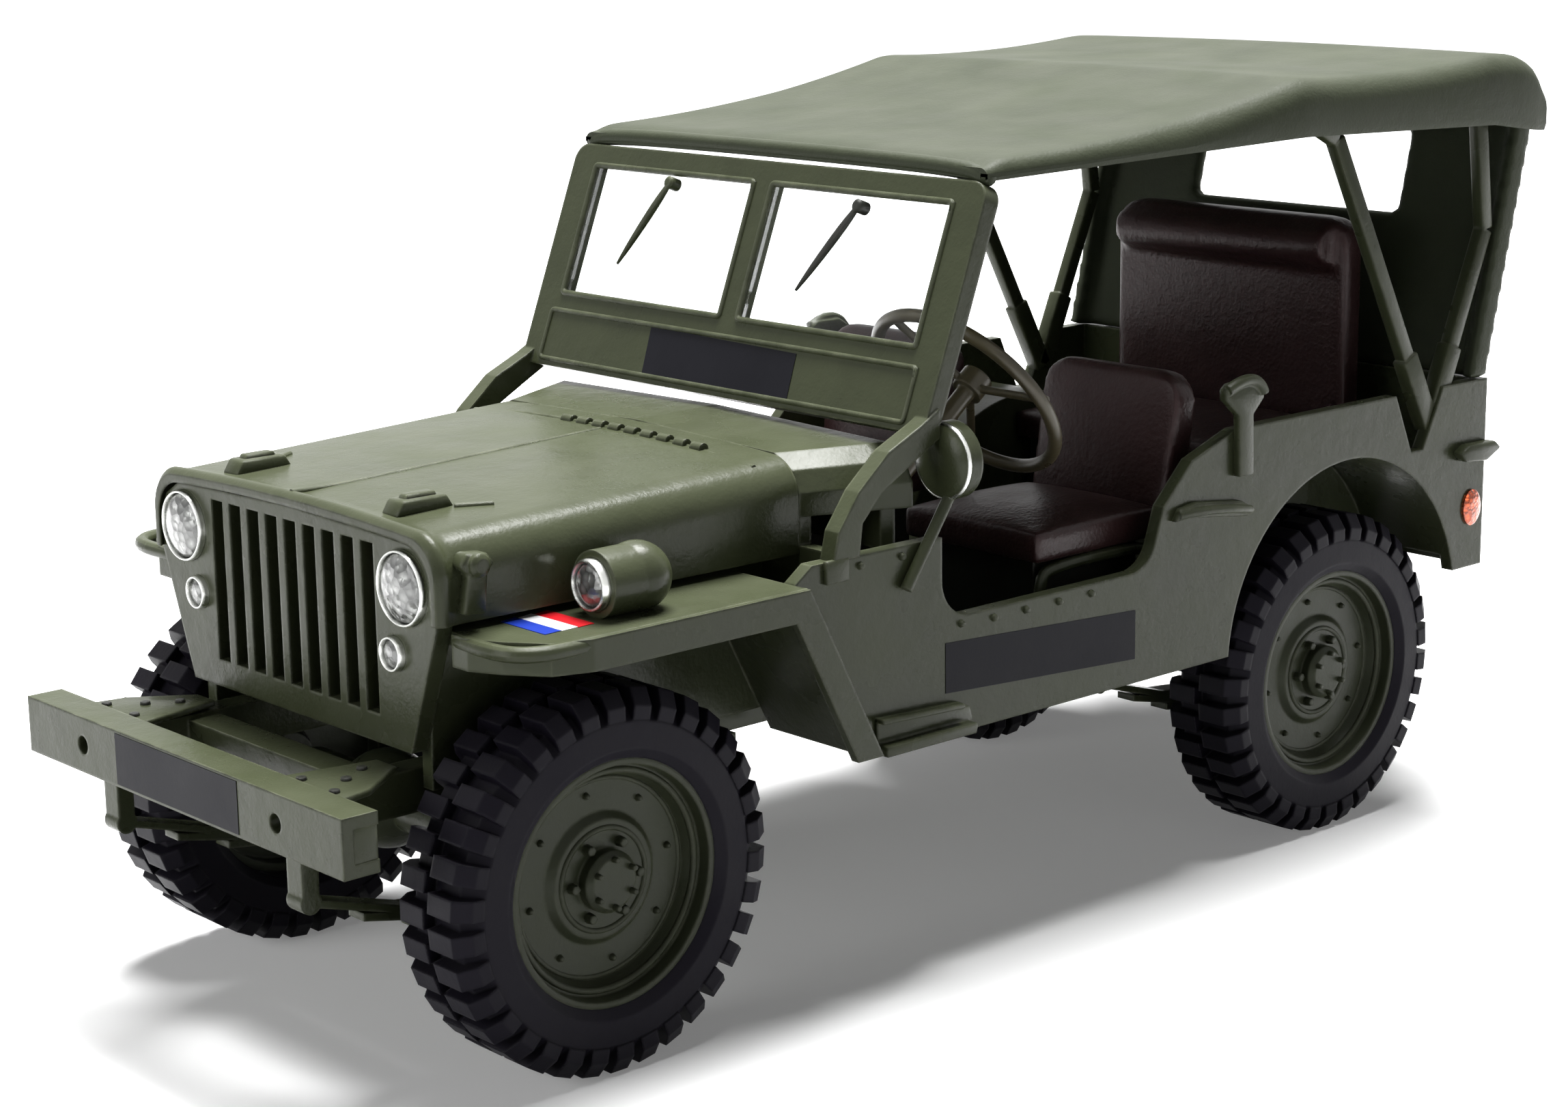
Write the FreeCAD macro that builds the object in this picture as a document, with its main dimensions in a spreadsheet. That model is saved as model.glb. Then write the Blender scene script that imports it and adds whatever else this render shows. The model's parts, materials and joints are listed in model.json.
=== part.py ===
"""Scale model of an open army 4x4 car with its canvas top up, as one parametric document.

Frame: +X forward, +Y to the car's left, +Z up, origin on the ground under the middle of
the model's box.  Every size in millimetres is a cell of the sheet "Sizes"; FORMULAS
holds what is worked out from those cells; the sub-parts are bound to both.
"""
import FreeCAD, Part
import math
import os
import re
import Sketcher

DOC = FreeCAD.newDocument("army_car_model")
V = FreeCAD.Vector

# alias, size in millimetres (degrees for angles, plain counts for counts), what it sets
DIMENSIONS = (
    # wheels and running gear
    ("wheelbase", 47.26, "front axle to rear axle"),
    ("track", 23.3, "tyre middle to tyre middle, across"),
    ("wheel_radius", 8.33, "axle height, and tyre radius over the lugs"),
    ("lug_depth", 0.62, "height of a tread lug"),
    ("lug_count", 34, "lugs on each side of the tread"),
    ("lug_length", 0.9, "lug, around the tyre"),
    ("tyre_width", 4.5, "tyre over the lugs"),
    ("rim_radius", 5.36, "rim edge, and the hole in the tyre"),
    ("rim_inset", 0.35, "rim edge behind the tyre's side"),
    ("rim_depth", 2.6, "rim, across"),
    ("disc_sheet", 0.6, "thickness of the wheel disc"),
    ("hub_radius", 1.35, "hub cap"),
    ("pin_radius", 0.6, "steel axle pin"),
    ("pin_clearance", 0.05, "pin in its housing, all round"),
    ("housing_radius", 1.15, "axle tube"),
    ("diff_radius", 2.3, "differential case"),
    ("diff_offset", 3.0, "differential case right of the middle"),
    ("spring_spread", 14.6, "leaf spring to leaf spring"),
    ("spring_width", 1.1, "leaf, across"),
    ("leaf_sheet", 0.34, "thickness of one leaf"),
    ("spring_reach", 11.2, "axle to spring eye"),
    ("spring_rise", 1.9, "spring eye above the spring's middle"),
    # chassis
    ("bumper_reach", 12.6, "front axle to the bumper's face"),
    ("bumper_length", 24.94, "bumper, across"),
    ("bumper_low", 11.19, "bumper's lower edge"),
    ("bumper_high", 13.72, "bumper's upper edge"),
    ("bumper_depth", 1.7, "bumper channel, front to back"),
    ("bumper_sheet", 0.55, "thickness of the bumper channel"),
    ("bumper_bolt_spread", 15.34, "bumper hole to bumper hole"),
    ("bumper_bolt_radius", 0.42, "bumper hole"),
    ("rail_spread", 13.6, "frame rail to frame rail, middles"),
    ("rail_width", 1.3, "frame rail, across"),
    ("rail_low", 11.3, "underside of the frame"),
    ("rail_height", 1.9, "frame rail, up and down"),
    # tub
    ("body_width", 28.84, "outside of the body sides"),
    ("body_sheet", 0.7, "body side, floor and panels"),
    ("sill_height", 11.1, "lower edge of the body sides"),
    ("tub_floor", 13.9, "top of the floor"),
    ("rail_top", 22.45, "top edge of the body sides"),
    ("cowl_side_top", 20.3, "top edge of the body side beside the cowl"),
    ("tail_reach", 11.54, "rear axle to the rear panel"),
    ("tail_low", 12.4, "lower edge of the rear panel"),
    ("door_front", 18.2, "front axle to the door opening's front edge"),
    ("door_back", 15.2, "rear axle to the door opening's rear edge"),
    ("door_sill", 16.5, "bottom of the door opening"),
    ("door_slope", 6.2, "length of the slope behind the door opening"),
    ("arch_radius", 9.26, "rear wheel arch"),
    ("arch_rise", 2.1, "arch centre above the axle"),
    ("wheelhouse_inner", 16.4, "between the rear wheel housings' inner walls"),
    ("notch_depth", 3.1, "bow notch in the body side"),
    ("notch_width", 4.0, "bow notch, front to back"),
    ("notch_reach", 5.6, "rear axle to the middle of the bow notch"),
    # cowl and hood
    ("hood_reach", 6.6, "front axle forward to the hood's front edge"),
    ("hood_back", 12.6, "front axle back to the hood's rear edge"),
    ("hood_front_width", 21.6, "hood, across, at the front"),
    ("hood_back_width", 22.4, "hood, across, at the rear"),
    ("hood_front_top", 23.45, "hood height at the front"),
    ("hood_back_top", 24.25, "hood height at the rear"),
    ("hood_skirt", 19.95, "lower edge of the hood's sides"),
    ("hood_round", 1.6, "rounding of the hood's shoulders"),
    ("cowl_back", 17.5, "front axle back to the cowl's rear edge"),
    ("cowl_back_width", 26.6, "cowl, across, at the rear"),
    ("cowl_back_top", 24.35, "cowl height at the rear"),
    # grille
    ("grille_sheet", 0.8, "thickness of the grille"),
    ("grille_low", 14.2, "lower edge of the grille"),
    ("grille_low_width", 16.8, "grille, across, at the bottom"),
    ("slot_count", 9, "grille slots"),
    ("slot_pitch", 1.44, "slot to slot"),
    ("slot_width", 0.92, "one slot, across"),
    ("slot_low", 15.44, "bottom of the slots"),
    ("slot_high", 22.7, "top of the slots"),
    ("lamp_spread", 16.8, "headlamp to headlamp"),
    ("lamp_height", 21.2, "headlamp middle"),
    ("lamp_radius", 1.6, "headlamp lens"),
    ("marker_spread", 15.06, "marker lamp to marker lamp"),
    ("marker_height", 18.3, "marker lamp middle"),
    ("marker_radius", 0.75, "marker lamp lens"),
    ("lens_clearance", 0.01, "lens in its hole, all round"),
    # front fenders
    ("fender_width", 30.9, "over both fenders"),
    ("fender_top", 19.6, "top of the fenders"),
    ("fender_sheet", 0.6, "thickness of the fenders"),
    ("fender_lip", 0.75, "lip below the fender's sheet"),
    ("fender_front", 5.9, "front axle forward to the fender's front"),
    ("fender_bend", 9.4, "front axle back to the fender's bend"),
    ("fender_foot", 13.6, "front axle back to the fender's foot"),
    ("fender_foot_height", 11.4, "height of the fender's foot"),
    ("apron_spread", 17.4, "between the engine side walls"),
    ("step_reach", 19.0, "front axle back to the step's rear end"),
    # windscreen
    ("screen_foot", 17.4, "front axle back to the windscreen's foot"),
    ("screen_foot_height", 24.95, "height of the windscreen's foot"),
    ("screen_rake", 21.0, "windscreen from upright, degrees"),
    ("screen_height", 11.45, "windscreen, along its slope"),
    ("screen_width", 29.0, "windscreen, across"),
    ("screen_sheet", 0.9, "thickness of the windscreen frame"),
    ("pane_low", 3.75, "foot of the windscreen to the panes"),
    ("pane_high", 10.4, "foot of the windscreen to the panes' top"),
    ("pane_spread", 25.4, "panes, across both"),
    ("pane_post", 1.2, "post between the panes"),
    ("glass_sheet", 0.3, "thickness of the glazing"),
    # canvas top
    ("top_front_height", 36.75, "top height at the windscreen"),
    ("top_front_width", 28.4, "top, across, at the windscreen"),
    ("top_bow_height", 39.0, "top height at the front bow"),
    ("top_back_height", 39.45, "top height at the rear bow"),
    ("top_back_width", 30.7, "top, across, at the bows"),
    ("top_sheet", 0.7, "thickness of the top"),
    ("top_sag", 0.75, "sag of the top between its supports"),
    ("bow_lead", 4.97, "rear axle forward to the front bow"),
    ("bow_lag", 10.45, "rear axle back to the rear bow"),
    ("curtain_reach", 15.2, "rear axle back to the top's rear end"),
    ("curtain_wrap", 1.4, "rear curtain's turned sides, front to back"),
    ("window_width", 14.2, "rear window, across"),
    ("window_low", 30.5, "bottom of the rear window"),
    ("window_height", 4.5, "rear window, up and down"),
    ("bow_radius", 0.42, "bow rod"),
    ("collar_radius", 0.7, "collar at the bow's foot"),
    # inside
    ("seat_width", 9.0, "front seat, across"),
    ("seat_spread", 15.8, "front seat to front seat"),
    ("seat_height", 18.8, "top of the front seat cushions"),
    ("seat_depth", 8.8, "front seat cushion, front to back"),
    ("seat_pad", 1.5, "thickness of the seat pads"),
    ("seat_reach", 12.0, "rear axle forward to the front seats' backs"),
    ("seat_back_height", 8.0, "front seat back, up and down"),
    ("seat_lean", 9.0, "seat backs from upright, degrees"),
    ("bench_width", 16.2, "rear seat, across"),
    ("bench_reach", 7.4, "rear axle back to the rear seat's back"),
    ("bench_top", 30.7, "top of the rear seat's back"),
    ("bench_height", 19.5, "top of the rear seat cushion"),
    ("bench_depth", 8.4, "rear seat cushion, front to back"),
    ("steer_radius", 5.0, "steering wheel"),
    ("steer_rim", 0.33, "steering wheel rim, radius of its section"),
    ("steer_spread", 7.8, "steering wheel left of the middle"),
    ("steer_tilt", 38.0, "steering column from level, degrees"),
    ("steer_reach", 26.4, "front axle back to the steering wheel's hub"),
    ("steer_height", 25.0, "height of the steering wheel's hub"),
    ("dash_height", 4.0, "instrument panel, up and down"),
    # small outside parts
    ("fender_lamp_lead", 1.7, "front axle back to the fender lamp's face"),
    ("fender_lamp_spread", 12.75, "fender lamp left of the middle"),
    ("fender_lamp_radius", 1.5, "fender lamp housing"),
    ("mirror_radius", 1.75, "mirror head"),
    ("mirror_rod", 0.28, "mirror stalk"),
    ("mirror_foot", 15.7, "front axle back to the foot of the mirror's stalk"),
    ("mirror_spread", 16.2, "mirror face's outer side left of the middle"),
    # rear
    ("spare_height", 18.4, "spare wheel's middle"),
    ("spare_offset", 6.9, "spare wheel right of the middle"),
    ("rear_reach", 17.1, "rear axle to the back of the spare tyre"),
    ("can_width", 7.0, "fuel can, across"),
    ("can_depth", 3.8, "fuel can, front to back"),
    ("can_height", 10.9, "fuel can, up and down"),
    ("can_offset", 5.5, "fuel can left of the middle"),
    ("can_low", 13.6, "bottom of the fuel can"),
)

# Stations and sizes worked out from the sheet.
FORMULAS = {
    "front_axle": "(wheelbase + rear_reach - bumper_reach) / 2",
    "rear_axle": "front_axle - wheelbase",
    "bumper_face": "front_axle + bumper_reach",
    "tail": "rear_axle - tail_reach",
    "half_body": "body_width / 2",
    "tyre_middle": "track / 2",
    "tyre_face": "(track + tyre_width) / 2",
    "rim_face": "tyre_face - rim_inset",
    "pin_end": "rim_face - 1.2",
    "rail_half": "rail_spread / 2",
    "spring_seat": "wheel_radius - housing_radius - 0.15",
    "cowl_run": "cowl_back - hood_back - body_sheet",
    "cowl_flare": "(cowl_back_width - hood_back_width) / 2 / cowl_run",
    "cowl_climb": "(cowl_back_top - hood_back_top) / cowl_run",
    "arch_centre": "wheel_radius + arch_rise",
    "door_front_x": "front_axle - door_front",
    "door_back_x": "rear_axle + door_back",
    "hood_front_x": "front_axle + hood_reach",
    "hood_back_x": "front_axle - hood_back",
    "cowl_back_x": "front_axle - cowl_back",
    "grille_back_x": "hood_front_x - grille_sheet",
    "screen_x": "front_axle - screen_foot",
    "top_front_x": "front_axle - screen_foot - screen_height * sin(screen_rake) + 0.4",
    "bow_front_x": "rear_axle + bow_lead",
    "bow_back_x": "rear_axle - bow_lag",
    "curtain_x": "rear_axle - curtain_reach",
    "seat_back_x": "rear_axle + seat_reach",
    "bench_back_x": "rear_axle - bench_reach",
    "spare_back_x": "rear_axle - rear_reach",
}

SHEET = DOC.addObject("Spreadsheet::Sheet", "Sizes")
for row, (alias, size, meaning) in enumerate(DIMENSIONS, start=1):
    SHEET.set(f"A{row}", meaning)
    SHEET.set(f"B{row}", str(size))
    SHEET.setAlias(f"B{row}", alias)
DOC.recompute()

ALIASES = {alias for alias, _, _ in DIMENSIONS}
ANGLES = {"screen_rake", "seat_lean", "steer_tilt"}


def bind(text):
    """Turn a formula in sheet names into an expression that FreeCAD evaluates."""
    def swap(match):
        word = match.group(0)
        if word in FORMULAS:
            return "(" + bind(FORMULAS[word]) + ")"
        if word in ANGLES:
            return "Sizes." + word + " * 1 deg"
        return "Sizes." + word if word in ALIASES else word
    return re.sub(r"[a-z_][a-z0-9_]*", swap, str(text))


def value(text):
    """Number that a formula comes to now."""
    return float(SHEET.evalExpression(bind(text)))


def place(thing, x="0", y="0", z="0", axis=(0, 0, 1), angle=0):
    """Bind an object's position, and turn it about one of its axes."""
    thing.Placement = FreeCAD.Placement(V(0, 0, 0), FreeCAD.Rotation(V(*axis), angle))
    for letter, text in zip("xyz", (x, y, z)):
        thing.setExpression("Placement.Base." + letter, bind(text))
    return thing


# ---------------------------------------------------------------- Part primitives
def box(name, x, y, z, turn=((0, 1, 0), 0)):
    """Box between two bounds on each axis, each bound a formula."""
    solid = DOC.addObject("Part::Box", name)
    for side, (low, high) in zip(("Length", "Width", "Height"), (x, y, z)):
        solid.setExpression(side, bind(f"({high}) - ({low})"))
    return place(solid, x[0], y[0], z[0], *turn)


TURNS = {"x": ((0, 1, 0), 90), "y": ((1, 0, 0), -90), "z": ((0, 0, 1), 0)}


def rod(name, along, radius, length, x, y, z):
    """Cylinder from a start point along +X, +Y or +Z."""
    solid = DOC.addObject("Part::Cylinder", name)
    solid.setExpression("Radius", bind(radius))
    solid.setExpression("Height", bind(length))
    return place(solid, x, y, z, *TURNS[along])


def cone(name, along, radius_start, radius_end, length, x, y, z):
    """Cone frustum from a start point along +X, +Y or +Z."""
    solid = DOC.addObject("Part::Cone", name)
    solid.setExpression("Radius1", bind(radius_start))
    solid.setExpression("Radius2", bind(radius_end))
    solid.setExpression("Height", bind(length))
    return place(solid, x, y, z, *TURNS[along])


def fuse(name, *things):
    """Union of several objects."""
    solid = DOC.addObject("Part::MultiFuse", name)
    solid.Shapes = list(things)
    solid.Refine = True
    return solid


def cut(name, base, *tools):
    """Base with the tools taken away."""
    solid = DOC.addObject("Part::Cut", name)
    solid.Base = base
    solid.Tool = tools[0] if len(tools) == 1 else fuse(name + "_tools", *tools)
    solid.Refine = True
    return solid


def common(name, base, tool):
    """What two objects share."""
    solid = DOC.addObject("Part::Common", name)
    solid.Base = base
    solid.Tool = tool
    return solid


def mirror(name, source):
    """Copy of an object on the car's other side."""
    solid = DOC.addObject("Part::Mirroring", name)
    solid.Source = source
    solid.Normal = (0, 1, 0)
    return solid


# ---------------------------------------------------------------- PartDesign
def body(name):
    """New PartDesign body."""
    return DOC.addObject("PartDesign::Body", name)


def plane_of(owner, role):
    """Origin plane of a body, such as XZ_Plane."""
    return next(f for f in owner.Origin.OriginFeatures if f.Role == role)


def outline(owner, role, name, corners, offset="0"):
    """Closed outline of straight runs, each corner's two coordinates bound to the sheet."""
    sketch = owner.newObject("Sketcher::SketchObject", name)
    sketch.AttachmentSupport = [(plane_of(owner, role), "")]
    sketch.MapMode = "FlatFace"
    sketch.setExpression("AttachmentOffset.Base.z", bind(offset))
    points = [V(value(across), value(up), 0) for across, up in corners]
    count = len(points)
    for i, point in enumerate(points):
        sketch.addGeometry(Part.LineSegment(point, points[(i + 1) % count]), False)
    for i in range(count):
        sketch.addConstraint(Sketcher.Constraint("Coincident", i, 2, (i + 1) % count, 1))
    for i, corner in enumerate(corners):
        for kind, at, text in (("DistanceX", points[i].x, corner[0]), ("DistanceY", points[i].y, corner[1])):
            index = sketch.addConstraint(Sketcher.Constraint(kind, i, 1, at))
            sketch.setExpression(f"Constraints[{index}]", bind(text))
    return sketch


def ring(owner, role, name, circles, offset="0"):
    """Circles, each with its centre and radius bound to the sheet."""
    sketch = owner.newObject("Sketcher::SketchObject", name)
    sketch.AttachmentSupport = [(plane_of(owner, role), "")]
    sketch.MapMode = "FlatFace"
    sketch.setExpression("AttachmentOffset.Base.z", bind(offset))
    for i, (across, up, radius) in enumerate(circles):
        centre = V(value(across), value(up), 0)
        sketch.addGeometry(Part.Circle(centre, V(0, 0, 1), value(radius)), False)
        for kind, spot, at, text in (
            ("DistanceX", (i, 3), centre.x, across),
            ("DistanceY", (i, 3), centre.y, up),
            ("Radius", (i,), value(radius), radius),
        ):
            index = sketch.addConstraint(Sketcher.Constraint(kind, *spot, at))
            sketch.setExpression(f"Constraints[{index}]", bind(text))
    return sketch


def extrude(owner, kind, name, sketch, length, both=False, back=False):
    """Pad or Pocket of a sketch; both makes it even about the sketch's plane."""
    feature = owner.newObject("PartDesign::" + kind, name)
    feature.Profile = sketch
    feature.setExpression("Length", bind(length))
    feature.SideType = "Symmetric" if both else "One side"
    feature.Reversed = back
    sketch.Visibility = False
    return feature


def spin(owner, kind, name, sketch, axis):
    """Revolution or Groove of a sketch about one of its own axes."""
    feature = owner.newObject("PartDesign::" + kind, name)
    feature.Profile = sketch
    feature.ReferenceAxis = (sketch, [axis])
    feature.Angle = 360
    return feature


def loft(owner, kind, name, sketches):
    """Ruled AdditiveLoft or SubtractiveLoft through sketches."""
    feature = owner.newObject("PartDesign::" + kind, name)
    feature.Profile = sketches[0]
    feature.Sections = sketches[1:]
    feature.Ruled = True
    return feature


def dress(owner, kind, name, base, size, pick):
    """Fillet or Chamfer on the edges of a feature whose middle passes a test."""
    DOC.recompute()
    edges = [
        f"Edge{i}" for i, edge in enumerate(base.Shape.Edges, start=1)
        if pick(edge.CenterOfMass, edge)
    ]
    feature = owner.newObject("PartDesign::" + kind, name)
    feature.Base = (base, edges)
    feature.setExpression("Radius" if kind == "Fillet" else "Size", bind(size))
    return feature


# ================================================================ sub-parts
def make_tub():
    """Body tub: sides, floor, firewall, cowl, rear panel and rear wheel housings."""
    tub = body("tub_panels")
    side = outline(tub, "XZ_Plane", "side_outline", (
        ("front_axle - fender_foot", "sill_height"),
        ("front_axle - fender_foot", "fender_foot_height"),
        ("front_axle - fender_bend", "fender_top"),
        ("front_axle - fender_bend - 1.0", "cowl_side_top"),
        ("door_front_x", "cowl_side_top"),
        ("door_front_x", "door_sill"),
        ("door_back_x", "door_sill"),
        ("door_back_x - 1.0", "door_sill + 2.9"),
        ("door_back_x - 3.0", "rail_top - 1.1"),
        ("door_back_x - door_slope", "rail_top"),
        ("rear_axle - notch_reach + 1.9", "rail_top"),
        ("rear_axle - notch_reach + 0.5", "rail_top - notch_depth"),
        ("rear_axle - notch_reach - 0.5", "rail_top - notch_depth"),
        ("rear_axle - notch_reach + 1.9 - notch_width", "rail_top"),
        ("tail", "rail_top"),
        ("tail", "tail_low"),
        ("rear_axle", "tail_low"),
        ("rear_axle", "sill_height"),
    ))
    block = extrude(tub, "Pad", "side_pad", side, "body_width", both=True)
    corners = ("door_front_x", "door_back_x")
    rounded = dress(tub, "Fillet", "door_rounding", block, "1.8", lambda middle, edge: (
        abs(middle.y) < 0.01 and abs(middle.z - value("door_sill")) < 0.01
        and any(abs(middle.x - value(corner)) < 0.01 for corner in corners)
    ))
    cab = outline(tub, "XZ_Plane", "cab_outline", (
        ("hood_back_x - body_sheet", "tub_floor"),
        ("hood_back_x - body_sheet", "rail_top + 9"),
        ("tail + body_sheet", "rail_top + 9"),
        ("tail + body_sheet", "tub_floor"),
    ))
    extrude(tub, "Pocket", "cab_space", cab, "body_width - 2 * body_sheet", both=True)
    under = outline(tub, "XZ_Plane", "under_outline", (
        ("hood_back_x + 1", "sill_height - 2"),
        ("hood_back_x + 1", "tub_floor - body_sheet"),
        ("tail + body_sheet", "tub_floor - body_sheet"),
        ("tail + body_sheet", "sill_height - 2"),
    ))
    extrude(tub, "Pocket", "under_space", under, "body_width - 2 * body_sheet", both=True)
    bay = outline(tub, "XZ_Plane", "bay_outline", (
        ("hood_back_x", "sill_height - 2"),
        ("hood_back_x", "cowl_side_top + 2"),
        ("hood_back_x + 6", "cowl_side_top + 2"),
        ("hood_back_x + 6", "sill_height - 2"),
    ))
    extrude(tub, "Pocket", "bay_space", bay, "body_width - 2 * body_sheet", both=True)

    houses = []
    for side_name, start in (
        ("left", "wheelhouse_inner / 2"),
        ("right", "body_sheet - half_body"),
    ):
        drum = rod(f"wheelhouse_{side_name}_drum", "y", "arch_radius + body_sheet",
                   "half_body - body_sheet - wheelhouse_inner / 2", "rear_axle", start, "arch_centre")
        keep = box(f"wheelhouse_{side_name}_keep", ("tail + body_sheet", "rear_axle + 12"),
                   ("-half_body", "half_body"), ("tub_floor - body_sheet", "arch_centre + 12"))
        houses.append(common(f"wheelhouse_{side_name}", drum, keep))
    arches = [
        rod(f"arch_{side_name}", "y", "arch_radius", "half_body", "rear_axle", start, "arch_centre")
        for side_name, start in (
            ("left", "wheelhouse_inner / 2 + body_sheet"),
            ("right", "-wheelhouse_inner / 2 - body_sheet - half_body"),
        )
    ]
    whole = fuse("tub_whole", tub, make_cowl(), *houses)
    return cut("tub", whole, *arches)


def shoulder_section(owner, name, x, half, top, low, drop):
    """Section of the hood or cowl across the car: sides, rounded shoulders and a crowned top."""
    rise = "0.25"
    return outline(owner, "YZ_Plane", name, (
        (f"-({half})", low),
        (f"-({half})", f"{top} - {drop}"),
        (f"-({half}) + 0.3 * {drop}", f"{top} - 0.4 * {drop}"),
        (f"-({half}) + {drop}", f"{top}"),
        ("0", f"{top} + {rise}"),
        (f"{half} - {drop}", f"{top}"),
        (f"{half} - 0.3 * {drop}", f"{top} - 0.4 * {drop}"),
        (half, f"{top} - {drop}"),
        (half, low),
    ), offset=x)


def make_cowl():
    """Cowl that widens from the hood to the instrument panel, with the firewall below it."""
    cowl = body("cowl")
    low = "cowl_side_top + 1.3"
    outer = [
        shoulder_section(cowl, "cowl_front", "hood_back_x", "hood_back_width / 2", "hood_back_top", low, "hood_round"),
        shoulder_section(cowl, "cowl_rear", "cowl_back_x", "cowl_back_width / 2", "cowl_back_top", low, "hood_round"),
    ]
    loft(cowl, "AdditiveLoft", "cowl_skin", outer)
    inner = [
        shoulder_section(cowl, "cowl_inner_front", "hood_back_x - body_sheet",
                         "hood_back_width / 2 - body_sheet", "hood_back_top - body_sheet", "cowl_side_top", "hood_round"),
        shoulder_section(cowl, "cowl_inner_rear", "cowl_back_x",
                         "cowl_back_width / 2 - body_sheet", "cowl_back_top - body_sheet", "cowl_side_top", "hood_round"),
    ]
    loft(cowl, "SubtractiveLoft", "cowl_space", inner)
    wall = box("firewall", ("hood_back_x - body_sheet", "hood_back_x"),
               ("-hood_back_width / 2", "hood_back_width / 2"), ("tub_floor", "cowl_side_top + 1.5"))
    return fuse("cowl_and_firewall", cowl, wall)


def make_hood():
    """Hood: a lofted shell, open below, that laps over the grille at its front."""
    hood = body("hood")
    outer = [
        shoulder_section(hood, "hood_front", "hood_front_x", "hood_front_width / 2",
                         "hood_front_top", "hood_skirt", "hood_round"),
        shoulder_section(hood, "hood_rear", "hood_back_x", "hood_back_width / 2",
                         "hood_back_top", "hood_skirt", "hood_round"),
    ]
    loft(hood, "AdditiveLoft", "hood_skin", outer)
    inner = [
        shoulder_section(hood, "hood_inner_front", "hood_front_x", "hood_front_width / 2 - 0.3",
                         "hood_front_top - 0.35", "hood_skirt - 1", "hood_round"),
        shoulder_section(hood, "hood_inner_rear", "hood_back_x", "hood_back_width / 2 - body_sheet",
                         "hood_back_top - body_sheet", "hood_skirt - 1", "hood_round"),
    ]
    loft(hood, "SubtractiveLoft", "hood_space", inner)
    return hood


def make_grille():
    """Flat stamped grille with its row of slots and the holes of the lamps."""
    grille = body("grille")
    edge = "hood_front_width / 2 - 0.32"
    top = "hood_front_top - 0.37"
    face = outline(grille, "YZ_Plane", "grille_outline", (
        ("-grille_low_width / 2", "grille_low"),
        (f"-({edge})", "hood_skirt - 0.2"),
        (f"-({edge})", f"{top} - hood_round"),
        (f"-({edge}) + 0.3 * hood_round", f"{top} - 0.4 * hood_round"),
        (f"-({edge}) + hood_round", top),
        ("0", f"{top} + 0.25"),
        (f"{edge} - hood_round", top),
        (f"{edge} - 0.3 * hood_round", f"{top} - 0.4 * hood_round"),
        (edge, f"{top} - hood_round"),
        (edge, "hood_skirt - 0.2"),
        ("grille_low_width / 2", "grille_low"),
    ), offset="grille_back_x - 0.2")
    extrude(grille, "Pad", "grille_pad", face, "grille_sheet")
    first = "-(slot_count - 1) / 2 * slot_pitch"
    slot = outline(grille, "YZ_Plane", "slot_outline", (
        (f"{first} - slot_width / 2", "slot_low"),
        (f"{first} + slot_width / 2", "slot_low"),
        (f"{first} + slot_width / 2", "slot_high"),
        (f"{first} - slot_width / 2", "slot_high"),
    ), offset="hood_front_x")
    slot_cut = extrude(grille, "Pocket", "slot", slot, "3 * grille_sheet")
    row_of_slots = grille.newObject("PartDesign::LinearPattern", "slots")
    row_of_slots.Originals = [slot_cut]
    row_of_slots.Direction = (slot, ["H_Axis"])
    row_of_slots.setExpression("Length", bind("(slot_count - 1) * slot_pitch"))
    row_of_slots.setExpression("Occurrences", bind("slot_count"))
    grille.Tip = row_of_slots
    lamps = ring(grille, "YZ_Plane", "lamp_holes", [
        (f"{sign}{spread} / 2", height, f"{radius} + lens_clearance")
        for sign in ("-", "")
        for spread, height, radius in (
            ("lamp_spread", "lamp_height", "lamp_radius"),
            ("marker_spread", "marker_height", "marker_radius"),
        )
    ], offset="hood_front_x")
    extrude(grille, "Pocket", "lamp_cut", lamps, "3 * grille_sheet")
    return grille


def make_radiator():
    """Radiator core behind the slots."""
    return box("radiator", ("grille_back_x - 2.4", "grille_back_x - 0.9"),
               ("body_sheet - apron_spread / 2", "apron_spread / 2 - body_sheet"), ("slot_low - 0.6", "fender_top"))


def fender_profile(name, thick_low, thick_high):
    """Fender profile between two depths below its top, wide enough for any planform."""
    strip = body(name)
    slope = "((fender_foot - fender_bend) / (fender_top - fender_foot_height))"
    skew = f"sqrt(1 + {slope}^2)"

    def station(depth):
        """Bend and foot of the line that lies a depth below the fender's top."""
        return (
            (f"front_axle - fender_bend + ({depth}) * ({skew} - {slope})", f"fender_top - ({depth})"),
            (f"front_axle - fender_foot + ({depth}) * {skew}", "fender_foot_height"),
        )
    (bend_top, foot_top), (bend_low, foot_low) = station(thick_low), station(thick_high)
    profile = outline(strip, "XZ_Plane", name + "_outline", (
        ("front_axle + fender_front + 1", f"fender_top - ({thick_low})"),
        bend_top, foot_top, foot_low, bend_low,
        ("front_axle + fender_front + 1", f"fender_top - ({thick_high})"),
    ))
    extrude(strip, "Pad", name + "_pad", profile, "fender_width + 4", both=True)
    return strip


def fender_planform(name, inset):
    """Planform of the left fender, its rim set in by a distance."""
    plan = body(name)
    wide = f"(fender_width / 2 - {inset})"
    front = f"(front_axle + fender_front - {inset})"
    shape = outline(plan, "XY_Plane", name + "_outline", (
        ("hood_back_x - 5", "apron_spread / 2"),
        ("grille_back_x - 0.2", "apron_spread / 2"),
        ("grille_back_x - 0.2", "hood_front_width / 2"),
        (front, "hood_front_width / 2"),
        (front, f"{wide} - 3.6"),
        (f"{front} - 0.7", f"{wide} - 2.2"),
        (f"{front} - 1.9", f"{wide} - 0.6"),
        (f"{front} - 3.6", wide),
        ("hood_back_x - 5", wide),
    ))
    extrude(plan, "Pad", name + "_pad", shape, "fender_top + 5")
    return plan


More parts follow.
